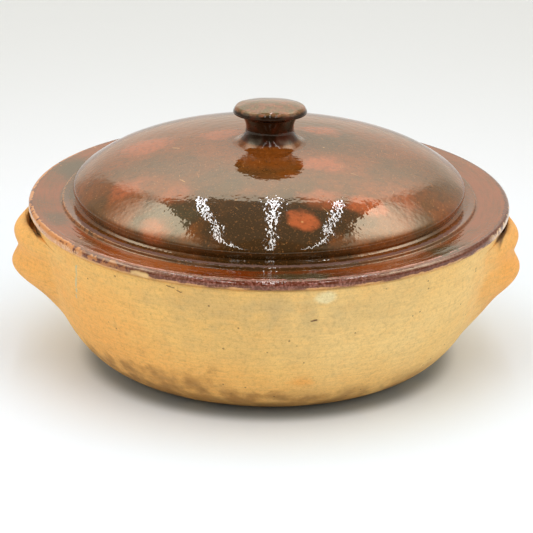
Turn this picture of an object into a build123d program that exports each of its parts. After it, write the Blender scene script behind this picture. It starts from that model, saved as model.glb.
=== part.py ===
from build123d import *
import os

# A round earthenware casserole: a thrown bowl with two ear handles, and a hat-shaped lid
# whose wide flange rests on the bowl's flat rim. Millimetres, +Z up. The origin is the
# bowl's axis at the face it stands on, and +X points to the right handle.

# Bowl
RIM_R = 148.0
RIM_Z = 97.2
WALL_T = 8.5
BASE_T = 8.5
FOOT_R = 85.0
KNEE_PULL = 41.5
INNER_KNEE_PULL = 35.0
WALL_PULL = 43.0
WALL_LEAN = 7.0
RIM_ROUND = 2.0

# Lid flange, with the collar that locates it in the bowl's mouth
FLANGE_OVERHANG = 2.2
FLANGE_W = 29.2
FLANGE_T = 5.7
FLANGE_ROUND = 2.0
FLANGE_UNDER_ROUND = 0.8
COLLAR_CLEARANCE = 1.6
COLLAR_W = 6.0
COLLAR_H = 5.0
COLLAR_ROUND = 1.5
THROAT_ROUND = 2.0

# Lid dome, and the step ring that runs round its foot
BULGE_Z = 3.2
BULGE_TUCK = 1.2
CROWN_H = 36.5
SHOULDER_PULL = 23.5
CROWN_PULL = 61.0
DOME_T = 6.5
STEP_H = 2.0
STEP_GAP = 2.2
STEP_TOP_W = 4.0
STEP_SLOPE_W = 3.2
STEP_ROUND = 0.8

# Knob. Its cap was set on by hand and leans back.
NECK_R = 15.0
NECK_CURVE = 10.5
NECK_SINK = 0.9
NECK_END_ANGLE = 38.0
CAP_R = 23.2
CAP_LIFT = 18.5
CAP_TILT = 4.5
CAP_UNDER_R = 12.0
CAP_UNDERCUT = 4.2
CAP_SIDE_H = 5.8
CAP_SIDE_IN = 1.8
CAP_CROWN = 0.9
CAP_ROUND = 1.6
CAP_TOP_ROUND = 3.6

# Ear handles. Seen from above, each swells out of the wall and sinks back into it. Upright,
# its section has two ridges with a groove between them. Depths are measured
# down from the bowl's rim and insets in from the ear's furthest reach, both at its middle.
# Fullness is how far the lower ridge's foot swells out past those insets.
LEFT_REACH = 12.8
LEFT_FULLNESS = 0.0
RIGHT_REACH = 10.0
RIGHT_FULLNESS = 6.5
EAR_TURN = 6.0
EAR_HALF_ANGLE = 23.0
EAR_SINK = 1.0
EAR_ROOT_R = 105.0
EAR_END_RISE = 0.24
EAR_TAPER = 0.55
CREST_DROP = 4.0
CREST_DEPTH = 5.4
CREST_INSET = 6.8
UPPER_RIDGE_DEPTH = 13.2
UPPER_RIDGE_INSET = 1.5
GROOVE_DEPTH = 22.0
GROOVE_INSET = 3.9
LOWER_RIDGE_DEPTH = 33.0
LOWER_RIDGE_INSET = 0.0
BELLY_DEPTH = 42.0
BELLY_INSET = 7.0
UNDERSIDE_DEPTH = 50.0
UNDERSIDE_INSET = 17.5
TAIL_DEPTH = 59.5
TAIL_INSET = 28.0

# The crevice left between an ear's crest and the wall
CREVICE_DEPTH = 13.5
CREVICE_RIM = 1.2
CREVICE_TAPER = 1.2
CREVICE_HALF_W = 33.0
CREVICE_END_INSET = 5.0

# Sizes that follow from the ones above
MOUTH_R = RIM_R - WALL_T
FLANGE_R = RIM_R + FLANGE_OVERHANG
FLANGE_TOP_Z = RIM_Z + FLANGE_T
DOME_R = FLANGE_R - FLANGE_W
BULGE_TOP_Z = FLANGE_TOP_Z + BULGE_Z
CROWN_Z = FLANGE_TOP_Z + CROWN_H
THROAT_R = DOME_R - DOME_T
COLLAR_R = MOUTH_R - COLLAR_CLEARANCE
STEP_IN_R = DOME_R + STEP_GAP
STEP_OUT_R = STEP_IN_R + STEP_TOP_W
STEP_FOOT_R = STEP_OUT_R + STEP_SLOPE_W
NECK_Z = CROWN_Z - NECK_SINK + NECK_CURVE
NECK_CENTRE_R = NECK_R + NECK_CURVE
CAP_Z = CROWN_Z + CAP_LIFT

# How closely a place on a curve is looked up, as a share of its length
PARAMETER_TOLERANCE = 1e-7

os.makedirs("parts", exist_ok=True)


def bowl_outside():
    """The bowl's outer line in the X-Z plane, from the foot up to the rim."""
    return Bezier(
        (FOOT_R, 0),
        (FOOT_R + KNEE_PULL, 0),
        (RIM_R - WALL_LEAN, RIM_Z - WALL_PULL),
        (RIM_R, RIM_Z),
    )


def bowl_inside():
    """The bowl's inner line, from the rim down to the floor."""
    return Bezier(
        (MOUTH_R, RIM_Z),
        (MOUTH_R - WALL_LEAN, RIM_Z - WALL_PULL),
        (FOOT_R + INNER_KNEE_PULL, BASE_T),
        (FOOT_R, BASE_T),
    )


def dome_outside():
    """The dome's outer line, from the crown down to its widest point."""
    return Bezier(
        (0, CROWN_Z),
        (CROWN_PULL, CROWN_Z),
        (DOME_R, BULGE_TOP_Z + SHOULDER_PULL),
        (DOME_R, BULGE_TOP_Z),
    )


def dome_inside():
    """The dome's inner line, from the flange's level up to the crown."""
    return Bezier(
        (THROAT_R, FLANGE_TOP_Z),
        (THROAT_R, BULGE_TOP_Z + SHOULDER_PULL - DOME_T / 2),
        (CROWN_PULL, CROWN_Z - DOME_T),
        (0, CROWN_Z - DOME_T),
    )


def round_corners(sketch, radius, *corners):
    """Round the sketch's corners nearest these points."""
    for corner in corners:
        fillet(sketch.vertices().sort_by_distance((*corner, 0))[0], radius)


WALL_LINE = bowl_outside()


def wall_radius(height):
    """The radius of the bowl's outer line at this height."""
    low, high = 0.0, 1.0
    while high - low > PARAMETER_TOLERANCE:
        middle = (low + high) / 2
        if (WALL_LINE @ middle).Y < height:
            low = middle
        else:
            high = middle
    return (WALL_LINE @ low).X


def ear_section(reach, fullness, share):
    """An ear's section, this share of the way from its middle to its end.

    It lies in an upright plane through the bowl's axis. Towards the ends the ear sinks
    into the wall, its crest drops and its underside rises. Low down it is narrower.
    """
    crest_z = RIM_Z - CREST_DEPTH - CREST_DROP * share**2
    rise = 1 - EAR_END_RISE * share**2

    def point(inset, depth):
        height = crest_z - (depth - CREST_DEPTH) * rise
        wall = wall_radius(height)
        fall = (depth - CREST_DEPTH) / (TAIL_DEPTH - CREST_DEPTH)
        swell = max(0, 1 - (share * (1 + EAR_TAPER * fall)) ** 2) ** 2
        foot = max(0, depth - LOWER_RIDGE_DEPTH) / (TAIL_DEPTH - LOWER_RIDGE_DEPTH)
        bulge = RIM_R + reach - inset + fullness * foot - wall
        return (wall + bulge * swell - EAR_SINK * (1 - swell), height)

    def root(depth):
        return (EAR_ROOT_R, crest_z - (depth - CREST_DEPTH) * rise)

    with BuildSketch(Plane.XZ.rotated((0, 0, share * EAR_HALF_ANGLE))) as section:
        with BuildLine():
            Spline(
                point(CREST_INSET, CREST_DEPTH),
                point(UPPER_RIDGE_INSET, UPPER_RIDGE_DEPTH),
                point(GROOVE_INSET, GROOVE_DEPTH),
                point(LOWER_RIDGE_INSET, LOWER_RIDGE_DEPTH),
                point(BELLY_INSET, BELLY_DEPTH),
                point(UNDERSIDE_INSET, UNDERSIDE_DEPTH),
                point(TAIL_INSET, TAIL_DEPTH),
            )
            Polyline(
                point(TAIL_INSET, TAIL_DEPTH),
                root(TAIL_DEPTH),
                root(CREST_DEPTH),
                point(CREST_INSET, CREST_DEPTH),
            )
        make_face()
    return section.sketch


def crevice_slice(depth, reach_x, end_x):
    """A level slice of the crevice, an arc with straight sides inside the wall."""
    with BuildSketch(Plane.XY.offset(RIM_Z - depth)) as plan:
        with BuildLine():
            ThreePointArc((end_x, -CREVICE_HALF_W), (reach_x, 0), (end_x, CREVICE_HALF_W))
            Polyline(
                (end_x, CREVICE_HALF_W),
                (EAR_ROOT_R, CREVICE_HALF_W),
                (EAR_ROOT_R, -CREVICE_HALF_W),
                (end_x, -CREVICE_HALF_W),
            )
        make_face()
    return plan.sketch


def ear(reach, fullness):
    """An ear that reaches this far past the rim on the +X side, turned to the front."""
    crevice_x = RIM_R + reach - CREST_INSET - CREVICE_RIM
    crevice_end_x = RIM_R - CREVICE_END_INSET
    with BuildPart() as body:
        for share in (-1, -0.75, -0.5, -0.25, 0, 0.25, 0.5, 0.75, 1):
            add(ear_section(reach, fullness, share))
        loft()
        add(crevice_slice(CREST_DEPTH, crevice_x, crevice_end_x))
        add(
            crevice_slice(
                CREVICE_DEPTH,
                crevice_x - CREVICE_TAPER,
                crevice_end_x - CREVICE_TAPER,
            )
        )
        loft(mode=Mode.SUBTRACT)
    with BuildPart() as fitted:
        add(body.part, rotation=(0, 0, -EAR_TURN))
        add(bowl_form.part, mode=Mode.SUBTRACT)
    return fitted.part


# The bowl's outer form, filled, which the ears are also cut to fit
with BuildPart() as bowl_form:
    with BuildSketch(Plane.XZ):
        with BuildLine():
            outside = bowl_outside()
            Polyline(outside @ 1, (0, RIM_Z), (0, 0), outside @ 0)
        make_face()
    revolve(axis=Axis.Z)

with BuildPart() as dish:
    add(bowl_form.part)
    with BuildSketch(Plane.XZ):
        with BuildLine():
            inside = bowl_inside()
            Polyline(inside @ 1, (0, BASE_T), (0, RIM_Z), inside @ 0)
        make_face()
    revolve(axis=Axis.Z, mode=Mode.SUBTRACT)
    rim_edges = dish.edges().group_by(Axis.Z)[-1].filter_by(GeomType.CIRCLE)
    fillet(rim_edges, RIM_ROUND)
dish.part.label = "dish"
export_step(dish.part, "parts/dish.step")

with BuildPart() as right_handle:
    add(ear(RIGHT_REACH, RIGHT_FULLNESS))
right_handle.part.label = "right_handle"
export_step(right_handle.part, "parts/right_handle.step")

with BuildPart() as left_handle:
    add(ear(LEFT_REACH, LEFT_FULLNESS))
    mirror(about=Plane.YZ, mode=Mode.REPLACE)
left_handle.part.label = "left_handle"
export_step(left_handle.part, "parts/left_handle.step")

# The dome's outer form, filled, which the knob is also cut to fit
with BuildPart() as dome_form:
    with BuildSketch(Plane.XZ):
        with BuildLine():
            dome = dome_outside()
            Polyline(dome @ 1, (DOME_R, FLANGE_TOP_Z), (0, FLANGE_TOP_Z), dome @ 0)
        make_face()
    revolve(axis=Axis.Z)

with BuildPart() as lid:
    with BuildSketch(Plane.XZ) as lid_section:
        with BuildLine():
            crown = dome_outside()
            Polyline(
                crown @ 1,
                (DOME_R - BULGE_TUCK, FLANGE_TOP_Z),
                (STEP_IN_R, FLANGE_TOP_Z + STEP_H),
                (STEP_OUT_R, FLANGE_TOP_Z + STEP_H),
                (STEP_FOOT_R, FLANGE_TOP_Z),
                (FLANGE_R, FLANGE_TOP_Z),
                (FLANGE_R, RIM_Z),
                (COLLAR_R, RIM_Z),
                (COLLAR_R, RIM_Z - COLLAR_H),
                (COLLAR_R - COLLAR_W, RIM_Z - COLLAR_H),
                (COLLAR_R - COLLAR_W, RIM_Z),
                (THROAT_R, RIM_Z),
                (THROAT_R, FLANGE_TOP_Z),
            )
            hollow = dome_inside()
            Line(hollow @ 1, crown @ 0)
        make_face()
        round_corners(
            lid_section,
            STEP_ROUND,
            (STEP_IN_R, FLANGE_TOP_Z + STEP_H),
            (STEP_OUT_R, FLANGE_TOP_Z + STEP_H),
        )
        round_corners(lid_section, FLANGE_ROUND, (FLANGE_R, FLANGE_TOP_Z))
        round_corners(lid_section, FLANGE_UNDER_ROUND, (FLANGE_R, RIM_Z))
        round_corners(
            lid_section,
            COLLAR_ROUND,
            (COLLAR_R, RIM_Z - COLLAR_H),
            (COLLAR_R - COLLAR_W, RIM_Z - COLLAR_H),
        )
        round_corners(lid_section, THROAT_ROUND, (THROAT_R, RIM_Z))
    revolve(axis=Axis.Z)
lid.part.label = "lid"
export_step(lid.part, "parts/lid.step")

# The knob's cap, upright, with its widest circle at the origin's level
with BuildPart() as cap_form:
    with BuildSketch(Plane.XZ) as cap_section:
        with BuildLine():
            Polyline(
                (0, -CAP_UNDERCUT),
                (CAP_UNDER_R, -CAP_UNDERCUT),
                (CAP_R, 0),
                (CAP_R - CAP_SIDE_IN, CAP_SIDE_H),
                (0, CAP_SIDE_H + CAP_CROWN),
                (0, -CAP_UNDERCUT),
            )
        make_face()
        round_corners(cap_section, CAP_ROUND, (CAP_R, 0))
        round_corners(cap_section, CAP_TOP_ROUND, (CAP_R - CAP_SIDE_IN, CAP_SIDE_H))
    revolve(axis=Axis.Z)

with BuildPart() as lid_knob:
    with BuildSketch(Plane.XZ):
        with BuildLine():
            neck = CenterArc(
                (NECK_CENTRE_R, NECK_Z),
                NECK_CURVE,
                180 - NECK_END_ANGLE,
                90 + NECK_END_ANGLE,
            )
            Polyline(
                neck @ 0,
                ((neck @ 0).X, CAP_Z),
                (0, CAP_Z),
                (0, FLANGE_TOP_Z),
                (NECK_CENTRE_R, FLANGE_TOP_Z),
                neck @ 1,
            )
        make_face()
    revolve(axis=Axis.Z)
    with Locations((0, 0, CAP_Z)):
        add(cap_form.part, rotation=(-CAP_TILT, 0, 0))
    add(dome_form.part, mode=Mode.SUBTRACT)
lid_knob.part.label = "lid_knob"
export_step(lid_knob.part, "parts/lid_knob.step")
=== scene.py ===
"""A lidded earthenware casserole dish, dressed and set on a pale studio floor."""

import logging
import math
from dataclasses import asdict, dataclass, field
from enum import Enum
from typing import ClassVar, Iterable, Optional, Union

import bmesh
import bpy
import numpy as np
from mathutils import Matrix, Vector, noise


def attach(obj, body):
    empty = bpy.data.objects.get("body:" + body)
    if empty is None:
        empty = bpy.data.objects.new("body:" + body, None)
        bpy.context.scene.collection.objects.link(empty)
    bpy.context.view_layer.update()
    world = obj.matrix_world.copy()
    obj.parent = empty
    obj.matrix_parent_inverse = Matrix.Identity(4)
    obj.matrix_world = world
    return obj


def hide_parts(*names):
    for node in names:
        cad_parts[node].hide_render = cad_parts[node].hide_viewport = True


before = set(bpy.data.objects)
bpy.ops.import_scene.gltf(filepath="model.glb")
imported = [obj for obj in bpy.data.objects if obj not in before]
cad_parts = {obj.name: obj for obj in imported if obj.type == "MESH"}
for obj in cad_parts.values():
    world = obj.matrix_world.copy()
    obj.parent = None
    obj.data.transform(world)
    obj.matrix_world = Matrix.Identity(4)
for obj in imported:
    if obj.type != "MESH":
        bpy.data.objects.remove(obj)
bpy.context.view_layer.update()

LOG = logging.getLogger("casserole")
# a millimetre in metres, which Blender works in
MM = 0.001
# how many points a curve and a rounded corner of an outline have
CURVE_POINTS = 90
ARC_POINTS = 12

Colour = tuple[float, float, float]
Point = tuple[float, float]
Place = tuple[float, float, float]
# where a smooth step starts and ends, and its low and high levels where they aren't 0 and 1
Span = tuple[float, ...]


class Body(Enum):
    """The bodies of the dish that move as one."""

    DISH = "dish_body"
    LID = "lid_body"


class Slot(Enum):
    """The finishes that the pieces take."""

    CLAY = "clay"
    GLAZE = "glaze"


class Side(Enum):
    """The side of the bowl that a handle stands on."""

    LEFT = -1
    RIGHT = 1


class Effect(Enum):
    """The effects that the finishes share, by the names of their groups."""

    PATCHES = "Soft patches"
    SPECKS = "Specks"
    GRAIN = "Fine grain"
    SPOT = "Placed spot"
    STROKE = "Placed stroke"


# Node trees


class Amount:
    """What a node gives out, on which sums are written plainly."""

    def __init__(self, wiring: "Wiring", socket: bpy.types.NodeSocket) -> None:
        """Takes the output and the wiring that placed its node."""
        self.wiring = wiring
        self.socket = socket

    def __add__(self, other: "Value") -> "Amount":
        """The sum."""
        return self.wiring.maths("ADD", self, other)

    def __sub__(self, other: "Value") -> "Amount":
        """The difference."""
        return self.wiring.maths("SUBTRACT", self, other)

    def __rsub__(self, other: "Value") -> "Amount":
        """The difference from the other."""
        return self.wiring.maths("SUBTRACT", other, self)

    def __mul__(self, other: "Value") -> "Amount":
        """The product."""
        return self.wiring.maths("MULTIPLY", self, other)

    def __truediv__(self, other: "Value") -> "Amount":
        """The quotient."""
        return self.wiring.maths("DIVIDE", self, other)

    def __abs__(self) -> "Amount":
        """The size without its sign."""
        return self.wiring.maths("ABSOLUTE", self)

    def ramp(self, start: "Value", end: "Value", low: "Value" = 0.0, high: "Value" = 1.0) -> "Amount":
        """A smooth step from low to high as the amount goes from start to end.

        Args:
            start: Where the step starts.
            end: Where it ends.
            low: What it gives before the start.
            high: What it gives past the end.

        Returns:
            The step's output.
        """
        inputs = {"Value": self, "From Min": start, "From Max": end, "To Min": low, "To Max": high}
        return self.wiring.result(
            "ShaderNodeMapRange", inputs, "Result", interpolation_type="SMOOTHSTEP"
        )


Value = Union[Amount, float, int, tuple, str]
Inputs = dict[Union[str, int], Value]


class Wiring:
    """Places nodes in a tree and joins them."""

    def __init__(self, tree: bpy.types.NodeTree) -> None:
        """Takes the tree to work in."""
        self.tree = tree

    def feed(self, socket: bpy.types.NodeSocket, value: Value) -> None:
        """Gives an input its value.

        Args:
            socket: The input.
            value: An amount to join to it, or a constant.
        """
        if isinstance(value, Amount):
            self.tree.links.new(value.socket, socket)
        elif socket.type == "RGBA" and len(value) == 3:
            socket.default_value = (*value, 1.0)
        else:
            socket.default_value = value

    def add(
        self, kind: str, inputs: Optional[Inputs] = None, **settings: object
    ) -> bpy.types.Node:
        """Places a node.

        Args:
            kind: Blender's name for the node type.
            inputs: Values for its inputs, by name or number.
            settings: The node's own settings.

        Returns:
            The node.
        """
        node = self.tree.nodes.new(kind)
        for name, value in settings.items():
            setattr(node, name, value)
        for key, value in (inputs or {}).items():
            self.feed(node.inputs[key], value)
        return node

    def result(
        self,
        kind: str,
        inputs: Optional[Inputs] = None,
        output: Union[str, int] = 0,
        **settings: object,
    ) -> Amount:
        """Places a node and gives one of its outputs.

        Args:
            kind: Blender's name for the node type.
            inputs: Values for its inputs, by name or number.
            output: The output's name or number.
            settings: The node's own settings.

        Returns:
            The output.
        """
        return Amount(self, self.add(kind, inputs, **settings).outputs[output])

    def maths(self, operation: str, *values: Value) -> Amount:
        """A Math node's result for these values."""
        return self.result("ShaderNodeMath", dict(enumerate(values)), operation=operation)

    def whole(self, operation: str, *values: Value) -> Amount:
        """An Integer Math node's result for these values."""
        return self.result("FunctionNodeIntegerMath", dict(enumerate(values)), operation=operation)

    def vectors(self, operation: str, *values: Value) -> Amount:
        """A Vector Math node's vector for these values."""
        return self.result("ShaderNodeVectorMath", dict(enumerate(values)), operation=operation)

    def scaled(self, vector: Value, factor: Value) -> Amount:
        """A vector made longer or shorter."""
        return self.result("ShaderNodeVectorMath", {0: vector, "Scale": factor}, operation="SCALE")

    def length(self, vector: Value) -> Amount:
        """The length of a vector."""
        return self.result("ShaderNodeVectorMath", {0: vector}, "Value", operation="LENGTH")

    def dot(self, first: Value, second: Value) -> Amount:
        """The dot product of two vectors."""
        inputs = {0: first, 1: second}
        return self.result("ShaderNodeVectorMath", inputs, "Value", operation="DOT_PRODUCT")

    def axes(self, vector: Value) -> list[Amount]:
        """The X, Y and Z of a vector."""
        node = self.add("ShaderNodeSeparateXYZ", {0: vector})
        return [Amount(self, output) for output in node.outputs]

    def vector(self, x: Value = 0.0, y: Value = 0.0, z: Value = 0.0) -> Amount:
        """The vector with this X, Y and Z."""
        return self.result("ShaderNodeCombineXYZ", {0: x, 1: y, 2: z})

    def blend(self, share: Value, first: Value, second: Value) -> Amount:
        """A mix of two colours, of which the share is the second's."""
        inputs = {0: share, 6: first, 7: second}
        return self.result("ShaderNodeMix", inputs, 2, data_type="RGBA", blend_type="MIX")

    def noise(
        self, vector: Value, scale: Value, detail: float, output: int = 0, **seeded: Value
    ) -> Amount:
        """Smooth noise.

        Args:
            vector: The place.
            scale: How many swells there are to the metre.
            detail: How fine it gets.
            output: 0 for its value and 1 for its colour.
            seeded: The W and other inputs of noise that has a seed.

        Returns:
            The noise.
        """
        inputs = {"Vector": vector, "Scale": scale, "Detail": detail}
        dimensions = "4D" if seeded else "3D"
        node = self.add("ShaderNodeTexNoise", inputs, noise_dimensions=dimensions)
        for name, value in seeded.items():
            self.feed(node.inputs[name], value)
        return Amount(self, node.outputs[output])

    def group(self, tree: bpy.types.NodeTree, **inputs: Value) -> Amount:
        """What a shared group gives out for these inputs."""
        return self.result("ShaderNodeGroup", {label(k): v for k, v in inputs.items()}, node_tree=tree)

    def give(self, result: Amount) -> bpy.types.NodeTree:
        """Ends a group with its result."""
        self.feed(self.add("NodeGroupOutput").inputs[0], result)
        return self.tree


def label(name: str) -> str:
    """The name of a group's input as it is shown."""
    return name.replace("_", " ").capitalize()


def start_group(
    name: str,
    output: str,
    result: str = "Float",
    kind: str = "ShaderNodeTree",
    **inputs: Value,
) -> tuple[Wiring, dict[str, Amount]]:
    """Starts a node group with named inputs and one output.

    Args:
        name: The group's name.
        output: The output's name.
        result: The output's socket type.
        kind: The type of tree.
        inputs: Each input's usual value, or the name of its socket type where it has none.

    Returns:
        The wiring to build it with, and its inputs by name.
    """
    tree = bpy.data.node_groups.new(name, kind)
    types = {float: "Float", int: "Int", tuple: "Vector"}
    for key, value in inputs.items():
        socket_type = f"NodeSocket{types.get(type(value), value)}"
        socket = tree.interface.new_socket(label(key), in_out="INPUT", socket_type=socket_type)
        if not isinstance(value, str):
            socket.default_value = value
    tree.interface.new_socket(output, in_out="OUTPUT", socket_type=f"NodeSocket{result}")
    wiring = Wiring(tree)
    given = wiring.add("NodeGroupInput").outputs
    return wiring, {key: Amount(wiring, given[label(key)]) for key in inputs}


ORIGIN = (0.0, 0.0, 0.0)


class SharedEffects:
    """The shader groups that the finishes share."""

    # how many swells the grain's coarser layer has for each one of the fine layer
    coarser: float = 0.17
    # how many swells to the metre make a spot ragged and a stroke wavy
    spot_swells: float = 90.0
    stroke_swells: float = 160.0
    # how much of a speck and of a stroke lies inside its soft edge
    solid_speck: float = 0.5
    solid_stroke: float = 0.3

    def __init__(self) -> None:
        """Builds each group once."""
        self.groups = {
            Effect.PATCHES: self._patches(),
            Effect.SPECKS: self._specks(),
            Effect.GRAIN: self._grain(),
            Effect.SPOT: self._spot(),
            Effect.STROKE: self._stroke(),
        }

    @staticmethod
    def _patches() -> bpy.types.NodeTree:
        """Soft-edged patches of uneven size."""
        name = Effect.PATCHES.value
        w, given = start_group(name, "Mask", vector=ORIGIN, scale=20.0, seed=0.0, low=0.4, high=0.7)
        scale, seed = given["scale"], given["seed"]
        cloud = w.noise(given["vector"], scale, detail=3.0, W=seed, Roughness=0.55)
        return w.give(cloud.ramp(given["low"], given["high"]))

    @classmethod
    def _specks(cls) -> bpy.types.NodeTree:
        """Small scattered specks, in only some of the cells."""
        name = Effect.SPECKS.value
        w, given = start_group(name, "Mask", vector=ORIGIN, scale=200.0, size=0.2, share=0.2)
        cells = w.add("ShaderNodeTexVoronoi", {"Vector": given["vector"], "Scale": given["scale"]})
        size = given["size"]
        dot = Amount(w, cells.outputs["Distance"]).ramp(size, size * cls.solid_speck)
        lot = w.axes(Amount(w, cells.outputs["Color"]))[0]
        return w.give(dot * w.maths("LESS_THAN", lot, given["share"]))

    @classmethod
    def _grain(cls) -> bpy.types.NodeTree:
        """The height of a fine, even grain."""
        name = Effect.GRAIN.value
        w, given = start_group(name, "Height", vector=ORIGIN, scale=800.0, coarse_share=0.3)
        fine = w.noise(given["vector"], given["scale"], detail=1.0)
        coarse = w.noise(given["vector"], given["scale"] * cls.coarser, detail=2.0)
        return w.give(fine + coarse * (given["coarse_share"] / cls.coarser))

    @classmethod
    def _spot(cls) -> bpy.types.NodeTree:
        """A blurred, ragged spot at a place on the object."""
        w, given = start_group(
            Effect.SPOT.value,
            "Mask",
            vector=ORIGIN,
            centre=ORIGIN,
            size=(0.01, 0.01, 0.01),
            ragged=0.5,
            blur=0.6,
        )
        away = w.vectors("SUBTRACT", given["vector"], given["centre"])
        reach = w.length(w.vectors("DIVIDE", away, given["size"]))
        cloud = w.noise(given["vector"], cls.spot_swells, detail=3.0)
        uneven = (cloud - 0.5) * given["ragged"] * 2.0
        blur = given["blur"]
        return w.give((reach + uneven).ramp(blur + 1.0, 1.0 - blur))

    @classmethod
    def _stroke(cls) -> bpy.types.NodeTree:
        """A thin, wavy stroke between two places on the object."""
        w, given = start_group(
            Effect.STROKE.value,
            "Mask",
            vector=ORIGIN,
            start=ORIGIN,
            end=ORIGIN,
            width=0.0005,
            wave=0.001,
        )
        cloud = w.noise(given["vector"], cls.stroke_swells, detail=2.0, output=1)
        shift = w.scaled(w.vectors("SUBTRACT", cloud, (0.5, 0.5, 0.5)), given["wave"])
        place = w.vectors("SUBTRACT", w.vectors("ADD", given["vector"], shift), given["start"])
        along = w.vectors("SUBTRACT", given["end"], given["start"])
        share = w.dot(place, along) / w.dot(along, along)
        share = w.maths("MINIMUM", w.maths("MAXIMUM", share, 0.0), 1.0)
        away = w.length(w.vectors("SUBTRACT", place, w.scaled(along, share)))
        return w.give(away.ramp(given["width"], given["width"] * cls.solid_stroke))


# Finishes


class Surface(Wiring):
    """A material in the making, with the colour that is laid on it so far."""

    def __init__(self, name: str, effects: SharedEffects) -> None:
        """Starts the material.

        Args:
            name: Its name.
            effects: The shared groups.
        """
        self.material = bpy.data.materials.new(name)
        self.material.use_nodes = True
        super().__init__(self.material.node_tree)
        self.shader = self.tree.nodes["Principled BSDF"]
        self.effects = effects
        self.place = self.result("ShaderNodeTexCoord", output="Object")
        self.x, self.y, self.height = self.axes(self.place)
        self.reach = self.length(self.vector(self.x, self.y))
        self.colour: Value = (1.0, 1.0, 1.0)

    def drawn(self, scale: Place, turn: float = 0.0) -> Amount:
        """The place, drawn out and turned round the upright, for a pattern that runs one way."""
        inputs = {"Vector": self.place, "Rotation": (0.0, 0.0, turn), "Scale": scale}
        return self.result("ShaderNodeMapping", inputs)

    def lay(self, share: Value, tone: Value) -> None:
        """Lays a tone over this share of the colour so far."""
        self.colour = self.blend(share, self.colour, tone)

    def mark(self, marks: Iterable["Mark"], tone: Colour) -> None:
        """Lays a tone over the colour so far, in the shape of each of these marks."""
        for mark in marks:
            self.lay(mark.mask(self), tone)

    def grain(self, scale: float, coarse: float) -> Amount:
        """The height of a fine grain, with this share of coarser grain in it."""
        grain = self.effects.groups[Effect.GRAIN]
        return self.group(grain, vector=self.place, scale=scale, coarse_share=coarse)

    def finish(self, height: Amount, depth: float) -> bpy.types.Material:
        """Joins the colour and a bump to the shader.

        Args:
            height: The bump's height.
            depth: How deep its height of one is, in metres.

        Returns:
            The material.
        """
        inputs = self.shader.inputs
        self.feed(inputs["Base Color"], self.colour)
        bump = {"Height": height, "Strength": 1.0, "Distance": depth}
        self.feed(inputs["Normal"], self.result("ShaderNodeBump", bump))
        return self.material


@dataclass(frozen=True)
class Fade:
    """A smooth change from one level to another between two places, in millimetres."""

    start: float
    end: float
    low: float = 0.0
    high: float = 1.0

    def over(self, distance: Amount) -> Amount:
        """The level at this distance."""
        return distance.ramp(self.start * MM, self.end * MM, self.low, self.high)


def in_metres(length: Union[float, Place]) -> Union[float, Place]:
    """A length or a place that is given in millimetres."""
    return tuple(c * MM for c in length) if isinstance(length, tuple) else length * MM


class Mark:
    """A mark on a surface, whose mask a shared group makes from the mark's own values."""

    effect: ClassVar[Effect]
    lengths: ClassVar[tuple[str, ...]] = ()

    def mask(self, surface: Surface, vector: Optional[Amount] = None) -> Amount:
        """The mark's mask over a surface.

        Args:
            surface: The surface.
            vector: What stands for the place, where the mark is drawn out.

        Returns:
            The mask, up to the mark's strength.
        """
        values = asdict(self)
        strength = values.pop("strength")
        values.update({name: in_metres(values[name]) for name in self.lengths})
        group = surface.effects.groups[self.effect]
        return surface.group(group, vector=vector or surface.place, **values) * strength


@dataclass(frozen=True)
class Cloud(Mark):
    """Soft patches all over: how many to the metre, their seed, their edges and their strength."""

    effect = Effect.PATCHES
    scale: float
    seed: float
    low: float
    high: float
    strength: float = 1.0


@dataclass(frozen=True)
class Speckle(Mark):
    """Small specks all over: how many to the metre, their size, their share and their strength."""

    effect = Effect.SPECKS
    scale: float
    size: float
    share: float
    strength: float


@dataclass(frozen=True)
class Stroke(Mark):
    """A scratch, crack or smear between two places on the object, in millimetres."""

    effect = Effect.STROKE
    lengths = ("start", "end", "width", "wave")
    start: Place
    end: Place
    width: float = 0.7
    strength: float = 1.0
    wave: float = 2.0


@dataclass(frozen=True)
class Spot(Mark):
    """A spot of another colour at a place on the object, in millimetres."""

    effect = Effect.SPOT
    lengths = ("centre", "size")
    centre: Place
    size: Place
    strength: float = 1.0
    ragged: float = 0.6
    blur: float = 0.7


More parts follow.
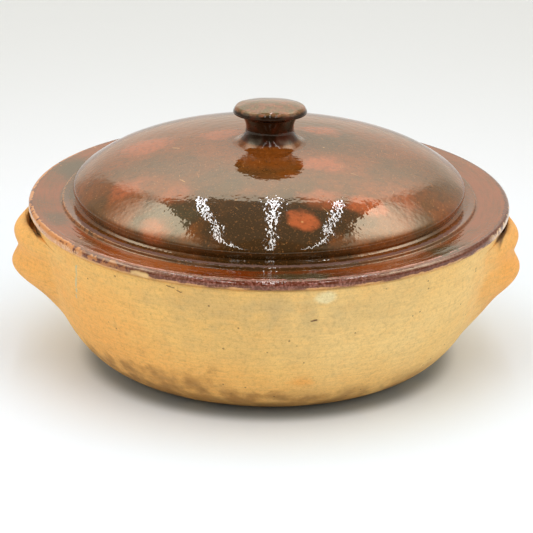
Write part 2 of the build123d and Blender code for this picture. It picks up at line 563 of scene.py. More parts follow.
@dataclass(frozen=True)
class Clay:
    """Bare, fired, yellow-ochre clay, stained by use."""

    base: Colour = (0.885, 0.525, 0.148)
    pale: Colour = (0.88, 0.62, 0.25)
    orange: Colour = (0.92, 0.43, 0.097)
    grey: Colour = (0.43, 0.33, 0.16)
    smudge: Colour = (0.26, 0.125, 0.034)
    burnt: Colour = (0.50, 0.23, 0.05)
    speck: Colour = (0.13, 0.06, 0.025)
    teal: Colour = (0.34, 0.52, 0.38)
    chalk: Colour = (0.86, 0.74, 0.40)
    roughness: float = 0.66
    gloss: float = 0.25
    grain: float = 0.00010
    orange_spots: tuple[Spot, ...] = (
        Spot((-150, -10, 62), (26, 70, 45), 0.9, 0.5, 0.8),
        Spot((152, -14, 64), (26, 62, 45), 1.0, 0.4, 0.6),
        Spot((-105, -85, 45), (42, 42, 38), 0.8, 0.6, 0.9),
        Spot((-60, -115, 25), (60, 30, 20), 0.6, 0.6, 0.9),
        Spot((40, -115, 22), (60, 30, 16), 0.2, 0.6, 0.9),
        Spot((21, -127, 30), (6, 8, 3), 0.8, 0.8, 1.0),
    )
    # painted shade: greyer, darker patches high on the front wall, under the flange
    grey_spots: tuple[Spot, ...] = (
        Spot((9, -146, 86), (17, 12, 5), 0.30, 1.0, 0.9),
        Spot((-30, -142, 84), (50, 22, 10), 0.34, 1.2, 0.9),
        Spot((60, -130, 80), (40, 26, 12), 0.26, 1.2, 0.9),
        Spot((-15, -138, 62), (40, 20, 16), 0.22, 1.4, 0.9),
    )
    smudges: tuple[Spot, ...] = (
        Spot((-66, -100, 15), (44, 30, 13), 0.62, 2.2, 1.0),
        Spot((-30, -108, 9), (60, 26, 8), 0.70, 2.2, 1.0),
        Spot((40, -106, 5), (60, 26, 6), 0.35, 2.0, 1.0),
        Spot((-96, -66, 12), (22, 30, 11), 0.55, 2.0, 1.0),
        Spot((90, -72, 12), (22, 30, 9), 0.4, 1.2, 0.9),
        Spot((-150, -20, 41), (12, 40, 9), 0.45, 0.9, 0.9),
        Spot((150, -20, 41), (12, 40, 9), 0.45, 0.9, 0.9),
    )
    cracks: tuple[Stroke, ...] = (
        Stroke((-59.7, -134.8, 93.9), (-55.5, -136.6, 93.4), 0.8, 0.75, 4.0),
        Stroke((-55.0, -136.8, 92.2), (-50.8, -138, 91.4), 0.8, 0.75, 4.0),
        Stroke((26.0, -141.5, 75.1), (28.8, -141.0, 75.7), 1.1, 1.0, 1.5),
        Stroke((-70, -123.5, 78), (-64, -127, 78.4), 0.4, 0.5, 1.5),
    )
    teal_streak: Stroke = Stroke((-116.0, -90.5, 89.0), (-116.4, -80.5, 65.0), 1.1, 0.55, 3.0)
    pale_spot: Spot = Spot((35, -143, 90.5), (7, 6, 4.0), 0.8, 0.8, 0.35)
    to_right: Fade = Fade(-40.0, 90.0, 0.3, 1.0)
    haze: Cloud = Cloud(14.0, 3.0, 0.35, 0.70, 0.5)
    haze_to_right: float = 0.5
    fine_lines: Cloud = Cloud(55.0, 17.0, 0.46, 0.60, 0.085)
    fine_line_draw: Place = (1.0, 1.0, 14.0)
    burnt_patches: Cloud = Cloud(70.0, 14.0, 0.30, 0.60)
    burnt_height: Fade = Fade(28.0, 4.0, 0.0, 0.55)
    # painted shade, in the speck colour, in the crevices behind the ears' top ridges
    crevice_reach: Fade = Fade(150.2, 149.2, 0.0, 0.9)
    crevice_height: Fade = Fade(84.5, 87.0)
    crevice_front: Fade = Fade(-50.0, -42.0)
    crevice_back: Fade = Fade(24.0, 16.0)
    foot_stain: Cloud = Cloud(45.0, 8.0, 0.42, 0.65)
    foot_height: Fade = Fade(34.0, 0.0, 0.0, 0.75)
    mottles: tuple[Cloud, ...] = (
        Cloud(70.0, 15.0, 0.45, 0.80, 0.20),
        Cloud(110.0, 5.0, 0.50, 0.80, 0.12),
        Cloud(420.0, 7.0, 0.45, 0.75, 0.24),
        Cloud(1100.0, 9.0, 0.45, 0.70, 0.20),
    )
    wheel_lines: Cloud = Cloud(650.0, 4.0, 0.40, 0.75)
    wheel_line_draw: Place = (0.16, 0.16, 1.0)
    wheel_line_tint: float = 0.16
    wheel_line_height: float = 0.5
    specks: Speckle = Speckle(230.0, 0.2, 0.07, 0.7)
    streak_gaps: Cloud = Cloud(300.0, 2.0, 0.35, 0.55)
    grain_scale: float = 800.0
    grain_coarse: float = 0.5

    def material(self, effects: SharedEffects) -> bpy.types.Material:
        """The finish as a material.

        Args:
            effects: The shared groups.

        Returns:
            The material.
        """
        s = Surface("Bare clay", effects)
        right = self.to_right.over(s.x)
        haze = self.haze.mask(s) + right * self.haze_to_right
        s.colour = s.blend(haze * right, self.base, self.pale)
        s.mark(self.orange_spots, self.orange)
        # painted shade high on the front, under the flange
        s.mark(self.grey_spots, self.grey)
        s.mark([self.pale_spot], self.chalk)
        s.mark(self.smudges, self.smudge)
        s.lay(self.fine_lines.mask(s, s.drawn(self.fine_line_draw)), self.smudge)
        s.lay(self.burnt_patches.mask(s) * self.burnt_height.over(s.height), self.burnt)
        # painted shade in the crevices behind the ears' top ridges
        s.lay(self.crevice(s), self.speck)
        s.lay(self.foot_stain.mask(s) * self.foot_height.over(s.height), self.smudge)
        tones = (self.orange, self.grey, self.smudge, self.smudge)
        for mottle, tone in zip(self.mottles, tones):
            s.lay(mottle.mask(s), tone)
        lines = self.wheel_lines.mask(s, s.drawn(self.wheel_line_draw))
        s.lay(lines * self.wheel_line_tint, self.grey)
        s.mark([self.specks, *self.cracks], self.speck)
        s.lay(self.teal_streak.mask(s) * self.streak_gaps.mask(s), self.teal)
        s.shader.inputs["Roughness"].default_value = self.roughness
        s.shader.inputs["Specular IOR Level"].default_value = self.gloss
        grain = s.grain(self.grain_scale, self.grain_coarse)
        return s.finish(grain + lines * self.wheel_line_height, self.grain)

    def crevice(self, s: Surface) -> Amount:
        """The mask of the painted shade in the crevices behind the ears' top ridges."""
        behind = self.crevice_reach.over(s.reach) * self.crevice_height.over(s.height)
        return behind * self.crevice_front.over(s.y) * self.crevice_back.over(s.y)


@dataclass(frozen=True)
class KnobTones:
    """The knob's tones: dark below, lighter and mottled on its cap's top."""

    dark: Colour = (0.018, 0.007, 0.003)
    red: Colour = (0.055, 0.010, 0.003)
    cap_olive: Colour = (0.139, 0.094, 0.037)
    cap_red: Colour = (0.271, 0.102, 0.045)
    patches: Cloud = Cloud(75.0, 12.0, 0.48, 0.60)
    cap_patches: Cloud = Cloud(210.0, 21.0, 0.35, 0.65)
    cap_mottle: Cloud = Cloud(900.0, 22.0, 0.45, 0.65, 0.4)
    cap_raggedness: float = 0.8
    cap_lean: float = 0.079
    cap_start: Fade = Fade(160.6, 162.0)
    start: Fade = Fade(140.8, 142.4)

    def lay(self, s: Surface) -> None:
        """Lays the tones on the knob.

        Args:
            s: The surface.
        """
        side = s.blend(self.patches.mask(s), self.dark, self.red)
        mixed = self.cap_patches.mask(s)
        top = s.blend(mixed, self.cap_olive, self.cap_red)
        top = s.blend(self.cap_mottle.mask(s), top, self.red)
        rim = s.height + mixed * (self.cap_raggedness * MM) + s.y * self.cap_lean
        s.lay(self.start.over(s.height), s.blend(self.cap_start.over(rim), side, top))


@dataclass(frozen=True)
class FlangeTones:
    """The flange's tones, darker to the front as painted shade, its edge band and wear, the painted
    highlights along its edge, and the painted reflection on the step ring.
    """

    # the flange's top is painted lighter at the back and darker to the front, as painted shade
    back: Colour = (0.27, 0.056, 0.010)
    front: Colour = (0.17, 0.024, 0.0015)
    bright: Colour = (0.30, 0.070, 0.009)
    band: Colour = (0.105, 0.020, 0.006)
    # the colour of the worn flecks in the edge band and of the painted highlight line along the edge's
    # crest
    edge_line: Colour = (0.50, 0.20, 0.15)
    # painted reflection on the top of the step ring
    ring_grey: Colour = (0.20, 0.115, 0.09)
    # the bare clay's colour, laid as a painted highlight along the outer edge at the far left and
    # right
    bare: Colour = (0.78, 0.50, 0.27)
    chip: Colour = (0.74, 0.47, 0.18)
    bright_spots: tuple[Spot, ...] = (
        Spot((-72, -118, 103), (44, 20, 5), 0.9, 0.8, 0.6),
        Spot((70, -118, 103), (26, 14, 5), 0.5, 0.8, 0.6),
    )
    olive_spots: tuple[Spot, ...] = (
        Spot((-125, 50, 103), (14, 22, 6), 0.9),
        Spot((108, -92, 103), (15, 14, 6), 0.95),
        Spot((23, -139, 103), (24, 8, 6), 0.95),
        Spot((-129, -42, 103), (8, 12, 6), 0.7),
    )
    edge_chip: Stroke = Stroke((-81, -128, 99.5), (-72, -132, 99.0), 2.6, 1.0, 2.0)
    streaks: Cloud = Cloud(30.0, 6.0, 0.45, 0.75, 0.6)
    ridge_lines: Cloud = Cloud(480.0, 13.0, 0.35, 0.70)
    ridge_draw: float = 0.012
    ridge_start: Fade = Fade(132.5, 134.5)
    ridge_height: Fade = Fade(-80.0, -125.0, 0.5, 1.1)
    ridge_tint: float = 0.45
    start: Fade = Fade(129.0, 132.0)
    # where the flange's painted shade darkens it towards the front
    to_front: Fade = Fade(-85.0, -120.0)

    wear_scale: float = 240.0
    wear_wander: float = 22.0
    # where the real wear at the far left and the painted side highlights break off
    chipped: Span = (0.36, 0.46)
    edge_raggedness: float = 0.15
    edge_fleck: Cloud = Cloud(620.0, 27.0, 0.45, 0.65, 0.45)
    edge_blend: Fade = Fade(146.6, 147.4)
    edge_top: Fade = Fade(147.0, 147.8)
    edge_front: Fade = Fade(-130.0, -143.0, 0.6, 0.0)
    # how far out the painted highlight along the outer edge lies
    edge_bare: Fade = Fade(149.4, 150.2)
    edge_worn: Fade = Fade(149.6, 150.8)
    # the painted highlight line along the crest of the edge's bead, towards the front
    line_reach: float = 145.6
    line_width: Fade = Fade(0.6, 0.2)
    line_to_front: Fade = Fade(-70.0, -100.0)
    line_wear: Span = (0.42, 0.55)
    far_left: Fade = Fade(-106.0, -119.0)
    far_right: Fade = Fade(131.0, 141.0)
    left_side: Fade = Fade(-60.0, -120.0, 0.0, 0.85)

    # where the step ring's painted reflection lies, stronger to the front
    grey_start: Fade = Fade(124.4, 125.2)
    grey_end: Fade = Fade(128.4, 127.6)
    grey_to_front: Fade = Fade(20.0, -60.0, 0.1, 0.75)
    arris_reach: float = 128.7
    arris_raggedness: float = 0.3
    arris_width: Fade = Fade(0.7, 0.2)
    arris_left: Fade = Fade(-85.0, -108.0)
    arris_wear: Span = (0.38, 0.60, 0.25, 0.85)
    under_raggedness: float = 0.12
    under_height: Fade = Fade(99.0, 98.3)
    under_reach: Fade = Fade(140.0, 149.0)
    under_gaps: Cloud = Cloud(45.0, 18.0, 0.38, 0.55, 0.8)

    def ridges(self, s: Surface) -> Amount:
        """The mask of the fine ridges that run round the flange.

        Args:
            s: The surface.

        Returns:
            The mask.
        """
        angle = s.maths("ARCTAN2", s.y, abs(s.x))
        unrolled = s.vector(s.reach, angle * self.ridge_draw)
        return self.ridge_lines.mask(s, unrolled) * self.ridge_start.over(s.reach)

    def top_tone(self, s: Surface, glaze: "Glaze", ridges: Amount) -> Amount:
        """The colour of the flange's top, darker and redder to the front as painted shade, with
        streaks and spots in it.

        Args:
            s: The surface.
            glaze: The glaze that the flange is dipped in.
            ridges: The mask of the flange's ridges.

        Returns:
            The colour.
        """
        # painted shade: darker towards the front
        tone = s.blend(self.to_front.over(s.y), self.back, self.front)
        tone = s.blend(self.streaks.mask(s), tone, glaze.brown)
        tone = s.blend(ridges * self.ridge_tint, tone, glaze.brown)
        for spots, other in ((self.bright_spots, self.bright), (self.olive_spots, glaze.olive)):
            for spot in spots:
                tone = s.blend(spot.mask(s), tone, other)
        return tone

    def band_tone(self, s: Surface) -> Amount:
        """The colour of the band along the edge, flecked at the sides and the back."""
        tone = s.blend(self.edge_fleck.mask(s), self.band, self.edge_line)
        return s.blend(self.edge_front.over(s.y), tone, self.band)

    def lay(self, s: Surface, glaze: "Glaze", ridges: Amount) -> None:
        """Lays the tones on the flange and the step ring.

        Args:
            s: The surface.
            glaze: The glaze that the flange is dipped in.
            ridges: The mask of the flange's ridges.
        """
        wear = s.noise(s.place, self.wear_scale, detail=4.0)
        shift = (wear - 0.5) * (self.wear_wander * MM)
        edge = s.reach + shift * self.edge_raggedness
        s.lay(self.start.over(s.reach), self.top_tone(s, glaze, ridges))
        s.lay(self.edge_blend.over(edge), self.band_tone(s))
        # the edge's wear and its painted highlights
        self.wear_edge(s, glaze, wear, edge)
        s.lay(self.edge_worn.over(s.reach + shift) * self.left_side.over(s.x), glaze.worn)

        # painted reflection on the step ring's top, stronger to the front
        grey = self.grey_start.over(edge) * self.grey_end.over(edge)
        s.lay(grey * self.grey_to_front.over(s.y), self.ring_grey)
        off_arris = abs(s.reach - self.arris_reach * MM) + shift * self.arris_raggedness
        arris = self.arris_width.over(off_arris) * self.arris_left.over(s.x)
        s.lay(arris * wear.ramp(*self.arris_wear), glaze.worn)

        under = self.under_height.over(s.height + shift * self.under_raggedness)
        under = under * self.under_reach.over(s.reach) * self.under_gaps.mask(s)
        s.lay(under, glaze.clay)
        s.mark([self.edge_chip], self.chip)

    def wear_edge(self, s: Surface, glaze: "Glaze", wear: Amount, edge: Amount) -> None:
        """Lays the painted highlight line inside the edge band, the wear along the top of the edge at
        the far left, and the bare clay's colour as a painted highlight along the outer edge at the far
        left and right.

        Args:
            s: The surface.
            glaze: The glaze that the flange is dipped in.
            wear: The noise that the wear and the breaks in the painted highlights follow.
            edge: The distance from the axis, made ragged.
        """
        # breaks shared by the real wear at the far left and by the painted highlight at the sides
        chipped = wear.ramp(*self.chipped)
        s.lay(self.edge_top.over(edge) * self.far_left.over(s.x) * chipped, glaze.worn)
        # painted highlight line along the crest of the edge's bead, broken by the noise
        line = self.line_width.over(abs(edge - self.line_reach * MM))
        line = line * self.line_to_front.over(s.y) * wear.ramp(*self.line_wear)
        s.lay(line, self.edge_line)
        # painted highlight along the outer edge at the far left and right, in the bare clay's colour
        sides = self.far_left.over(s.x) + self.far_right.over(s.x)
        s.lay(self.edge_bare.over(edge) * sides * chipped, self.bare)


@dataclass(frozen=True)
class Glaze:
    """Brown glaze that breaks to red and olive, worn to the clay in places."""

    name: str = "Brown glaze"
    dark: Colour = (0.040, 0.018, 0.004)
    brown: Colour = (0.115, 0.043, 0.008)
    amber: Colour = (0.21, 0.052, 0.006)
    red: Colour = (0.40, 0.085, 0.020)
    olive: Colour = (0.062, 0.045, 0.018)
    sheen: Colour = (1.0, 0.90, 0.72)
    clay: Colour = (0.70, 0.36, 0.12)
    worn: Colour = (0.58, 0.22, 0.06)
    roughness: float = 0.038
    refraction: float = 1.6
    grain: float = 0.00011
    red_spots: tuple[Spot, ...] = (
        Spot((-78, 7, 133), (16, 13, 9), 0.85, 0.7, 0.45),
        Spot((-31, 16, 138), (12, 9, 6), 0.7, 0.7, 0.45),
        Spot((32, 28, 138), (12, 10, 6), 0.75, 0.7, 0.45),
        Spot((33, -34, 137), (13, 11, 6), 0.8, 0.7, 0.45),
        Spot((20, -102, 125), (8.5, 8, 7), 1.0, 1.1, 0.4),
        Spot((32, -81, 131), (12, 10, 8), 0.7, 0.9, 0.5),
        Spot((59, -80, 127), (13, 9, 8), 1.0, 0.8, 0.4),
        Spot((-87, -53, 126), (11, 10, 8), 0.7, 1.0, 0.6),
        Spot((-57, -72, 129), (9, 9, 7), 0.6, 1.0, 0.6),
        Spot((-68, -97, 115), (9, 9, 8), 0.75, 0.8, 0.5),
        Spot((78, -62, 126), (16, 12, 8), 0.55, 1.0, 0.6),
    )
    # painted shade: the front of the dome and its foot darkened, where they face the dark open front
    dark_spots: tuple[Spot, ...] = (
        Spot((2, -104, 124), (48, 26, 22), 0.97, 0.8, 0.4),
        Spot((38, -96, 124), (26, 22, 18), 0.85, 0.8, 0.5),
        Spot((-50, -86, 122), (26, 20, 16), 0.75, 0.9, 0.6),
        Spot((0, -122, 108), (70, 14, 12), 0.85, 0.6, 0.5),
    )
    olive_spots: tuple[Spot, ...] = (
        Spot((-62, -93, 120), (20, 16, 14), 0.85, 0.9, 0.5),
        Spot((-20, -60, 134), (22, 14, 8), 0.5, 1.0, 0.8),
        Spot((52, 0, 136), (22, 16, 8), 0.5, 1.0, 0.8),
        Spot((-52, -36, 133), (20, 14, 8), 0.5, 1.0, 0.8),
    )
    scratches: tuple[Stroke, ...] = (
        Stroke((83, 23, 130.7), (87, 20, 129.6), 0.5, 0.5, 1.5),
        Stroke((63, -22, 135.0), (69, -24, 134.0), 0.5, 0.45, 1.5),
        Stroke((50, -45, 134.6), (54, -47, 134.1), 0.5, 0.4, 1.5),
        Stroke((-54, -55, 133.1), (-51, -59, 132.6), 0.5, 0.6, 1.5),
        Stroke((-97, -46, 124.2), (-93, -48, 124.6), 0.5, 0.6, 1.5),
        Stroke((-60, -4, 135.6), (-56, -6, 135.8), 0.7, 0.7, 1.5),
        Stroke((-20, -92, 128.4), (-11, -104, 124.2), 0.35, 0.45, 1.0),
        Stroke((-7, -88, 129.8), (-1, -98, 126.8), 0.35, 0.4, 1.0),
        Stroke((31, -88, 129.0), (40, -99, 123.5), 0.35, 0.4, 1.0),
    )
    dash: Stroke = Stroke((26.8, 27.2, 137.9), (31.0, 27.4, 137.8), 0.5, 0.9, 1.5)
    haze: Cloud = Cloud(26.0, 1.0, 0.35, 0.60)
    # painted light: lighter amber on the crown, where the light falls from above
    crown_glow: Spot = Spot((0, -22, 139), (30, 22, 5), 0.9, 0.4, 0.6)
    mottles: tuple[Cloud, ...] = (
        Cloud(230.0, 5.0, 0.45, 0.70, 0.35),
        Cloud(620.0, 620 / 46, 0.50, 0.70, 0.40),
        Cloud(900.0, 900 / 46, 0.56, 0.72, 0.30),
    )
    specks: tuple[Speckle, ...] = (
        Speckle(330.0, 0.16, 0.06, 0.35),
        Speckle(150.0, 0.16, 0.03, 0.50),
    )
    scuff_lines: Cloud = Cloud(850.0, 31.0, 0.64, 0.70)
    scuff_patches: Cloud = Cloud(26.0, 33.0, 0.50, 0.62, 0.45)
    scuff_turns: tuple[float, float] = (0.5, -0.95)
    scuff_draw: Place = (1.0, 0.09, 1.0)
    dull_patches: Cloud = Cloud(60.0, 9.0, 0.35, 0.75)
    dullness: float = 0.03
    grain_scale: float = 330.0
    grain_coarse: float = 0.25
    flange: FlangeTones = FlangeTones()
    knob: KnobTones = KnobTones()

    def material(self, effects: SharedEffects) -> bpy.types.Material:
        """The finish as a material.

        Args:
            effects: The shared groups.

        Returns:
            The material.
        """
        s = Surface(self.name, effects)
        ridges = self.flange.ridges(s)
        s.colour = s.blend(self.haze.mask(s), self.brown, self.amber)
        # painted light on the crown
        s.mark([self.crown_glow], self.amber)
        # painted shade on the dome's front and foot
        s.mark(self.dark_spots, self.dark)
        s.mark(self.olive_spots, self.olive)
        s.mark(self.red_spots, self.red)
        for mottle, tone in zip(self.mottles, (self.dark, self.dark, self.worn)):
            s.lay(mottle.mask(s), tone)
        self.flange.lay(s, self, ridges)
        self.knob.lay(s)
        s.mark(self.specks, self.clay)
        for turn in self.scuff_turns:
            lines = self.scuff_lines.mask(s, s.drawn(self.scuff_draw, turn))
            s.lay(lines * self.scuff_patches.mask(s), self.worn)
        s.mark(self.scratches, self.clay)
        s.mark([self.dash], self.dark)
        inputs = s.shader.inputs
        smooth, dull = self.roughness, self.roughness + self.dullness
        s.feed(inputs["Roughness"], self.dull_patches.mask(s).ramp(0.0, 1.0, smooth, dull))
        inputs["IOR"].default_value = self.refraction
        inputs["Specular Tint"].default_value = (*self.sheen, 1.0)
        grain = s.grain(self.grain_scale, self.grain_coarse)
        return s.finish(grain + ridges * self.flange.ridge_height.over(s.y), self.grain)


# Shapes


def bezier(start: Point, pull_a: Point, pull_b: Point, end: Point, count: int) -> np.ndarray:
    """Points along a cubic curve.

    Args:
        start: Where it starts.
        pull_a: What it heads for at first.
        pull_b: What it comes from at last.
        end: Where it ends.
        count: How many points to give.

    Returns:
        The points, one to a row.
    """
    t = np.linspace(0.0, 1.0, count)[:, None]
    a, b, c, d = (np.array(p, float) for p in (start, pull_a, pull_b, end))
    u = 1 - t
    return u**3 * a + 3 * u * u * t * b + 3 * u * t * t * c + t**3 * d


def distances(line: np.ndarray) -> np.ndarray:
    """How far along a line each of its points lies."""
    return np.concatenate([[0], np.cumsum(np.linalg.norm(np.diff(line, axis=0), axis=1))])


@dataclass
class Outline:
    """A line of radius and height, in millimetres, that a thrown form is turned from."""

    points: list[Point] = field(default_factory=list)
    rounds: dict[int, float] = field(default_factory=dict)

    def to(self, radius: float, height: float, rounding: float = 0.0) -> "Outline":
        """Goes straight to a place, whose corner may be rounded.

        Args:
            radius: Its distance from the axis.
            height: Its height.
            rounding: The radius of its corner.

        Returns:
            The outline.
        """
        if rounding:
            self.rounds[len(self.points)] = rounding
        self.points.append((radius, height))
        return self

    def curve(self, pull_a: Point, pull_b: Point, end: Point, rounding: float = 0.0) -> "Outline":
        """Curves from the last place to another.

        Args:
            pull_a: What the curve heads for at first.
            pull_b: What it comes from at last.
            end: Where it ends.
            rounding: The radius of the corner at its end.

        Returns:
            The outline.
        """
        line = bezier(self.points[-1], pull_a, pull_b, end, CURVE_POINTS)
        for place in line[1:-1]:
            self.points.append((float(place[0]), float(place[1])))
        return self.to(*end, rounding)

    def rounded(self) -> np.ndarray:
        """The outline's points with its corners rounded."""
        line = np.array(self.points)
        run = distances(line)

        def at(distance: float) -> np.ndarray:
            """The place at this distance along the line."""
            return np.array([np.interp(distance, run, line[:, k]) for k in (0, 1)])

        made: list[np.ndarray] = []
        skip_to = -1.0
        for index, place in enumerate(line):
            if index in self.rounds:
                radius = self.rounds[index]
                before = place - line[index - 1]
                after = line[index + 1] - place
                before /= np.linalg.norm(before)
                after /= np.linalg.norm(after)
                turn = math.acos(max(-1.0, min(1.0, float(before @ after))))
                cut = radius * math.tan(turn / 2)
                handle = radius * 4 / 3 * math.tan(turn / 4)
                start, end = run[index] - cut, run[index] + cut
                while made and self._run_of(made[-1], line, run) > start:
                    made.pop()
                a, d = at(start), at(end)
                made.extend(bezier(a, a + before * handle, d - after * handle, d, ARC_POINTS))
                skip_to = end
            elif run[index] > skip_to:
                made.append(place)
        return np.array(made)

    @staticmethod
    def _run_of(place: np.ndarray, line: np.ndarray, run: np.ndarray) -> float:
        """How far along the line a place on it lies."""
        return float(run[np.argmin(np.linalg.norm(line - place, axis=1))])

    def spaced(self, step: float, turn_step: float = 0.16) -> np.ndarray:
        """The rounded outline with its points spread evenly, closer where it bends.

        Args:
            step: The usual distance between points.
            turn_step: The most that the line turns from one point to the next.

        Returns:
            The points, one to a row.
        """
        line = self.rounded()
        keep = np.concatenate([[True], np.linalg.norm(np.diff(line, axis=0), axis=1) > 1e-5])
        line = line[keep]
        pieces = np.diff(line, axis=0)
        lengths = np.linalg.norm(pieces, axis=1)
        angles = np.unwrap(np.arctan2(pieces[:, 1], pieces[:, 0]))
        turns = np.abs(np.diff(angles, prepend=angles[0]))
        cost = np.concatenate([[0], np.cumsum(lengths / step + turns / turn_step)])
        wanted = np.linspace(0, cost[-1], int(cost[-1]) + 2)
        return np.stack([np.interp(wanted, cost, line[:, k]) for k in (0, 1)], axis=1)


def mesh_object(name: str, points: np.ndarray, faces: list[tuple[int, ...]]) -> bpy.types.Object:
    """A mesh object in the scene.

    Args:
        name: The object's name.
        points: Its points in metres.
        faces: Its faces.

    Returns:
        The object.
    """
    mesh = bpy.data.meshes.new(name)
    mesh.from_pydata([tuple(map(float, p)) for p in points], [], faces)
    made = bpy.data.objects.new(name, mesh)
    bpy.context.collection.objects.link(made)
    return made


def finish_mesh(piece: bpy.types.Object) -> None:
    """Closes a mesh's seams, turns its faces outwards and smooths them.

    Args:
        piece: The object that has the mesh.
    """
    work = bmesh.new()
    work.from_mesh(piece.data)
    bmesh.ops.remove_doubles(work, verts=work.verts, dist=1e-6)
    bmesh.ops.dissolve_degenerate(work, edges=work.edges, dist=1e-7)
    bmesh.ops.recalc_face_normals(work, faces=work.faces)
    for face in work.faces:
        face.smooth = True
    work.to_mesh(piece.data)
    work.free()


@dataclass
class Throwing:
    """How a form is thrown on the wheel: an outline turned round, with the marks of the hand."""

    steps: int = 256
    wobble: float = 0.3
    wobble_size: float = 9.0
    ring_depth: float = 0.1
    ring_pitch: float = 6.0
    seed: float = 1.0
    # how many swells to the metre make the rings' depth uneven
    rough_size: ClassVar[float] = 30.0
    # how far the rings wander up and down, in radians of their wave
    wander: ClassVar[float] = 9.0
    # how fast the marks of the hand grow with the distance from the axis, to the metre
    growth: ClassVar[float] = 60.0

    @classmethod
    def tree(cls) -> bpy.types.NodeTree:
        """The geometry node tree that throws a form, which is built once."""
        name = "Thrown form"
        if name in bpy.data.node_groups:
            return bpy.data.node_groups[name]
        w, given = start_group(
            name,
            "Form",
            "Geometry",
            "GeometryNodeTree",
            outline="Geometry",
            steps=256,
            wobble=0.0,
            wobble_size=9.0,
            ring_depth=0.0,
            ring_pitch=0.006,
            seed=1.0,
            finish="Material",
        )
        outline = given["outline"]
        rows = w.result(
            "GeometryNodeAttributeDomainSize", {0: outline}, "Point Count", component="MESH"
        )
        columns = w.whole("ADD", given["steps"], 1)
        grid = w.result("GeometryNodeMeshGrid", {"Vertices X": columns, "Vertices Y": rows})
        index = w.result("GeometryNodeInputIndex")
        row = w.whole("MODULO", index, rows)
        angle = w.whole("DIVIDE_FLOOR", index, rows) * (2 * math.pi) / given["steps"]
        own_place = w.result("GeometryNodeInputPosition")

        def sample(offset: int) -> Amount:
            """The outline's point at this many rows from the present one.

            Args:
                offset: How many rows on.

            Returns:
                The point.
            """
            inputs = {"Geometry": outline, "Value": own_place, "Index": w.whole("ADD", row, offset)}
            kind = "GeometryNodeSampleIndex"
            return w.result(kind, inputs, "Value", data_type="FLOAT_VECTOR", clamp=True)

        def turned(vector: Amount) -> Amount:
            """The vector turned to this column's angle."""
            inputs = {"Vector": vector, "Angle": angle}
            return w.result("ShaderNodeVectorRotate", inputs, rotation_type="Z_AXIS")

        radius, run, height = w.axes(sample(0))
        outward, _, upward = w.axes(w.vectors("SUBTRACT", sample(1), sample(-1)))
        square = w.vector(upward, 0.0, outward * -1.0)
        inward = w.scaled(w.vectors("NORMALIZE", square), -1.0)
        place = turned(w.vector(radius, 0.0, height))
        soft = w.noise(place, given["wobble_size"], detail=1.0, W=given["seed"])
        rough = w.noise(place, cls.rough_size, detail=1.0, W=given["seed"])
        # the rings climb like a screw's thread, and wander
        wander = soft * cls.wander
        phase = run / given["ring_pitch"] * (2 * math.pi) + angle + wander
        wave = w.maths("SINE", phase) * 0.5 + 0.5
        depth = wave * rough * given["ring_depth"] + soft * given["wobble"]
        off_axis = w.maths("MINIMUM", radius * cls.growth, 1.0)
        push = w.scaled(w.scaled(turned(inward), depth), off_axis)
        moved = {"Geometry": grid, "Position": w.vectors("ADD", place, push)}
        formed = w.result("GeometryNodeSetPosition", moved)
        merging = {"Geometry": formed, "Distance": 1e-6}
        merged = w.result("GeometryNodeMergeByDistance", merging)
        real = w.result("GeometryNodeRealizeInstances", {0: merged})
        dressing = {"Geometry": real, "Material": given["finish"]}
        return w.give(w.result("GeometryNodeSetMaterial", dressing))

    def turn(self, name: str, line: np.ndarray, finish: bpy.types.Material) -> bpy.types.Object:
        """Turns an outline into a piece.

        Args:
            name: The piece's name.
            line: The outline's radii and heights in millimetres, from the axis back to it.
            finish: The piece's material.

        Returns:
            The piece, as a plain mesh.
        """
        run = distances(line)
        points = np.stack([line[:, 0], run, line[:, 1]], axis=1) * MM
        mesh = bpy.data.meshes.new(f"{name} outline")
        mesh.from_pydata(points.tolist(), [(i, i + 1) for i in range(len(points) - 1)], [])
        draft = bpy.data.objects.new(f"{name} draft", mesh)
        bpy.context.collection.objects.link(draft)
        modifier = draft.modifiers.new("Throwing", "NODES")
        modifier.node_group = self.tree()
        values = {
            "Steps": self.steps,
            "Wobble": self.wobble * MM,
            "Wobble size": self.wobble_size,
            "Ring depth": self.ring_depth * MM,
            "Ring pitch": self.ring_pitch * MM,
            "Seed": self.seed,
            "Finish": finish,
        }
        for item in modifier.node_group.interface.items_tree:
            if item.in_out == "INPUT" and item.name in values:
                modifier[item.identifier] = values[item.name]
        shown = draft.evaluated_get(bpy.context.evaluated_depsgraph_get())
        plain = bpy.data.meshes.new_from_object(shown)
        bpy.data.objects.remove(draft)
        plain.name = name
        piece = bpy.data.objects.new(name, plain)
        bpy.context.collection.objects.link(piece)
        plain.materials.clear()
        plain.materials.append(finish)
        plain.polygons.foreach_set("material_index", [0] * len(plain.polygons))
        finish_mesh(piece)
        return piece


def settle(piece: bpy.types.Object, node: str, body: Body, slot: Slot) -> None:
    """Makes a finished piece stand for its node.

    Args:
        piece: The piece.
        node: The name of the node.
        body: The body it moves with.
        slot: The finish it takes; not used.
    """
    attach(piece, body.value)
    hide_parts(node)
    triangles = sum(len(p.vertices) - 2 for p in piece.data.polygons)
    LOG.info("%s: %d triangles, moves with %s", node, triangles, body.value)


# The pieces


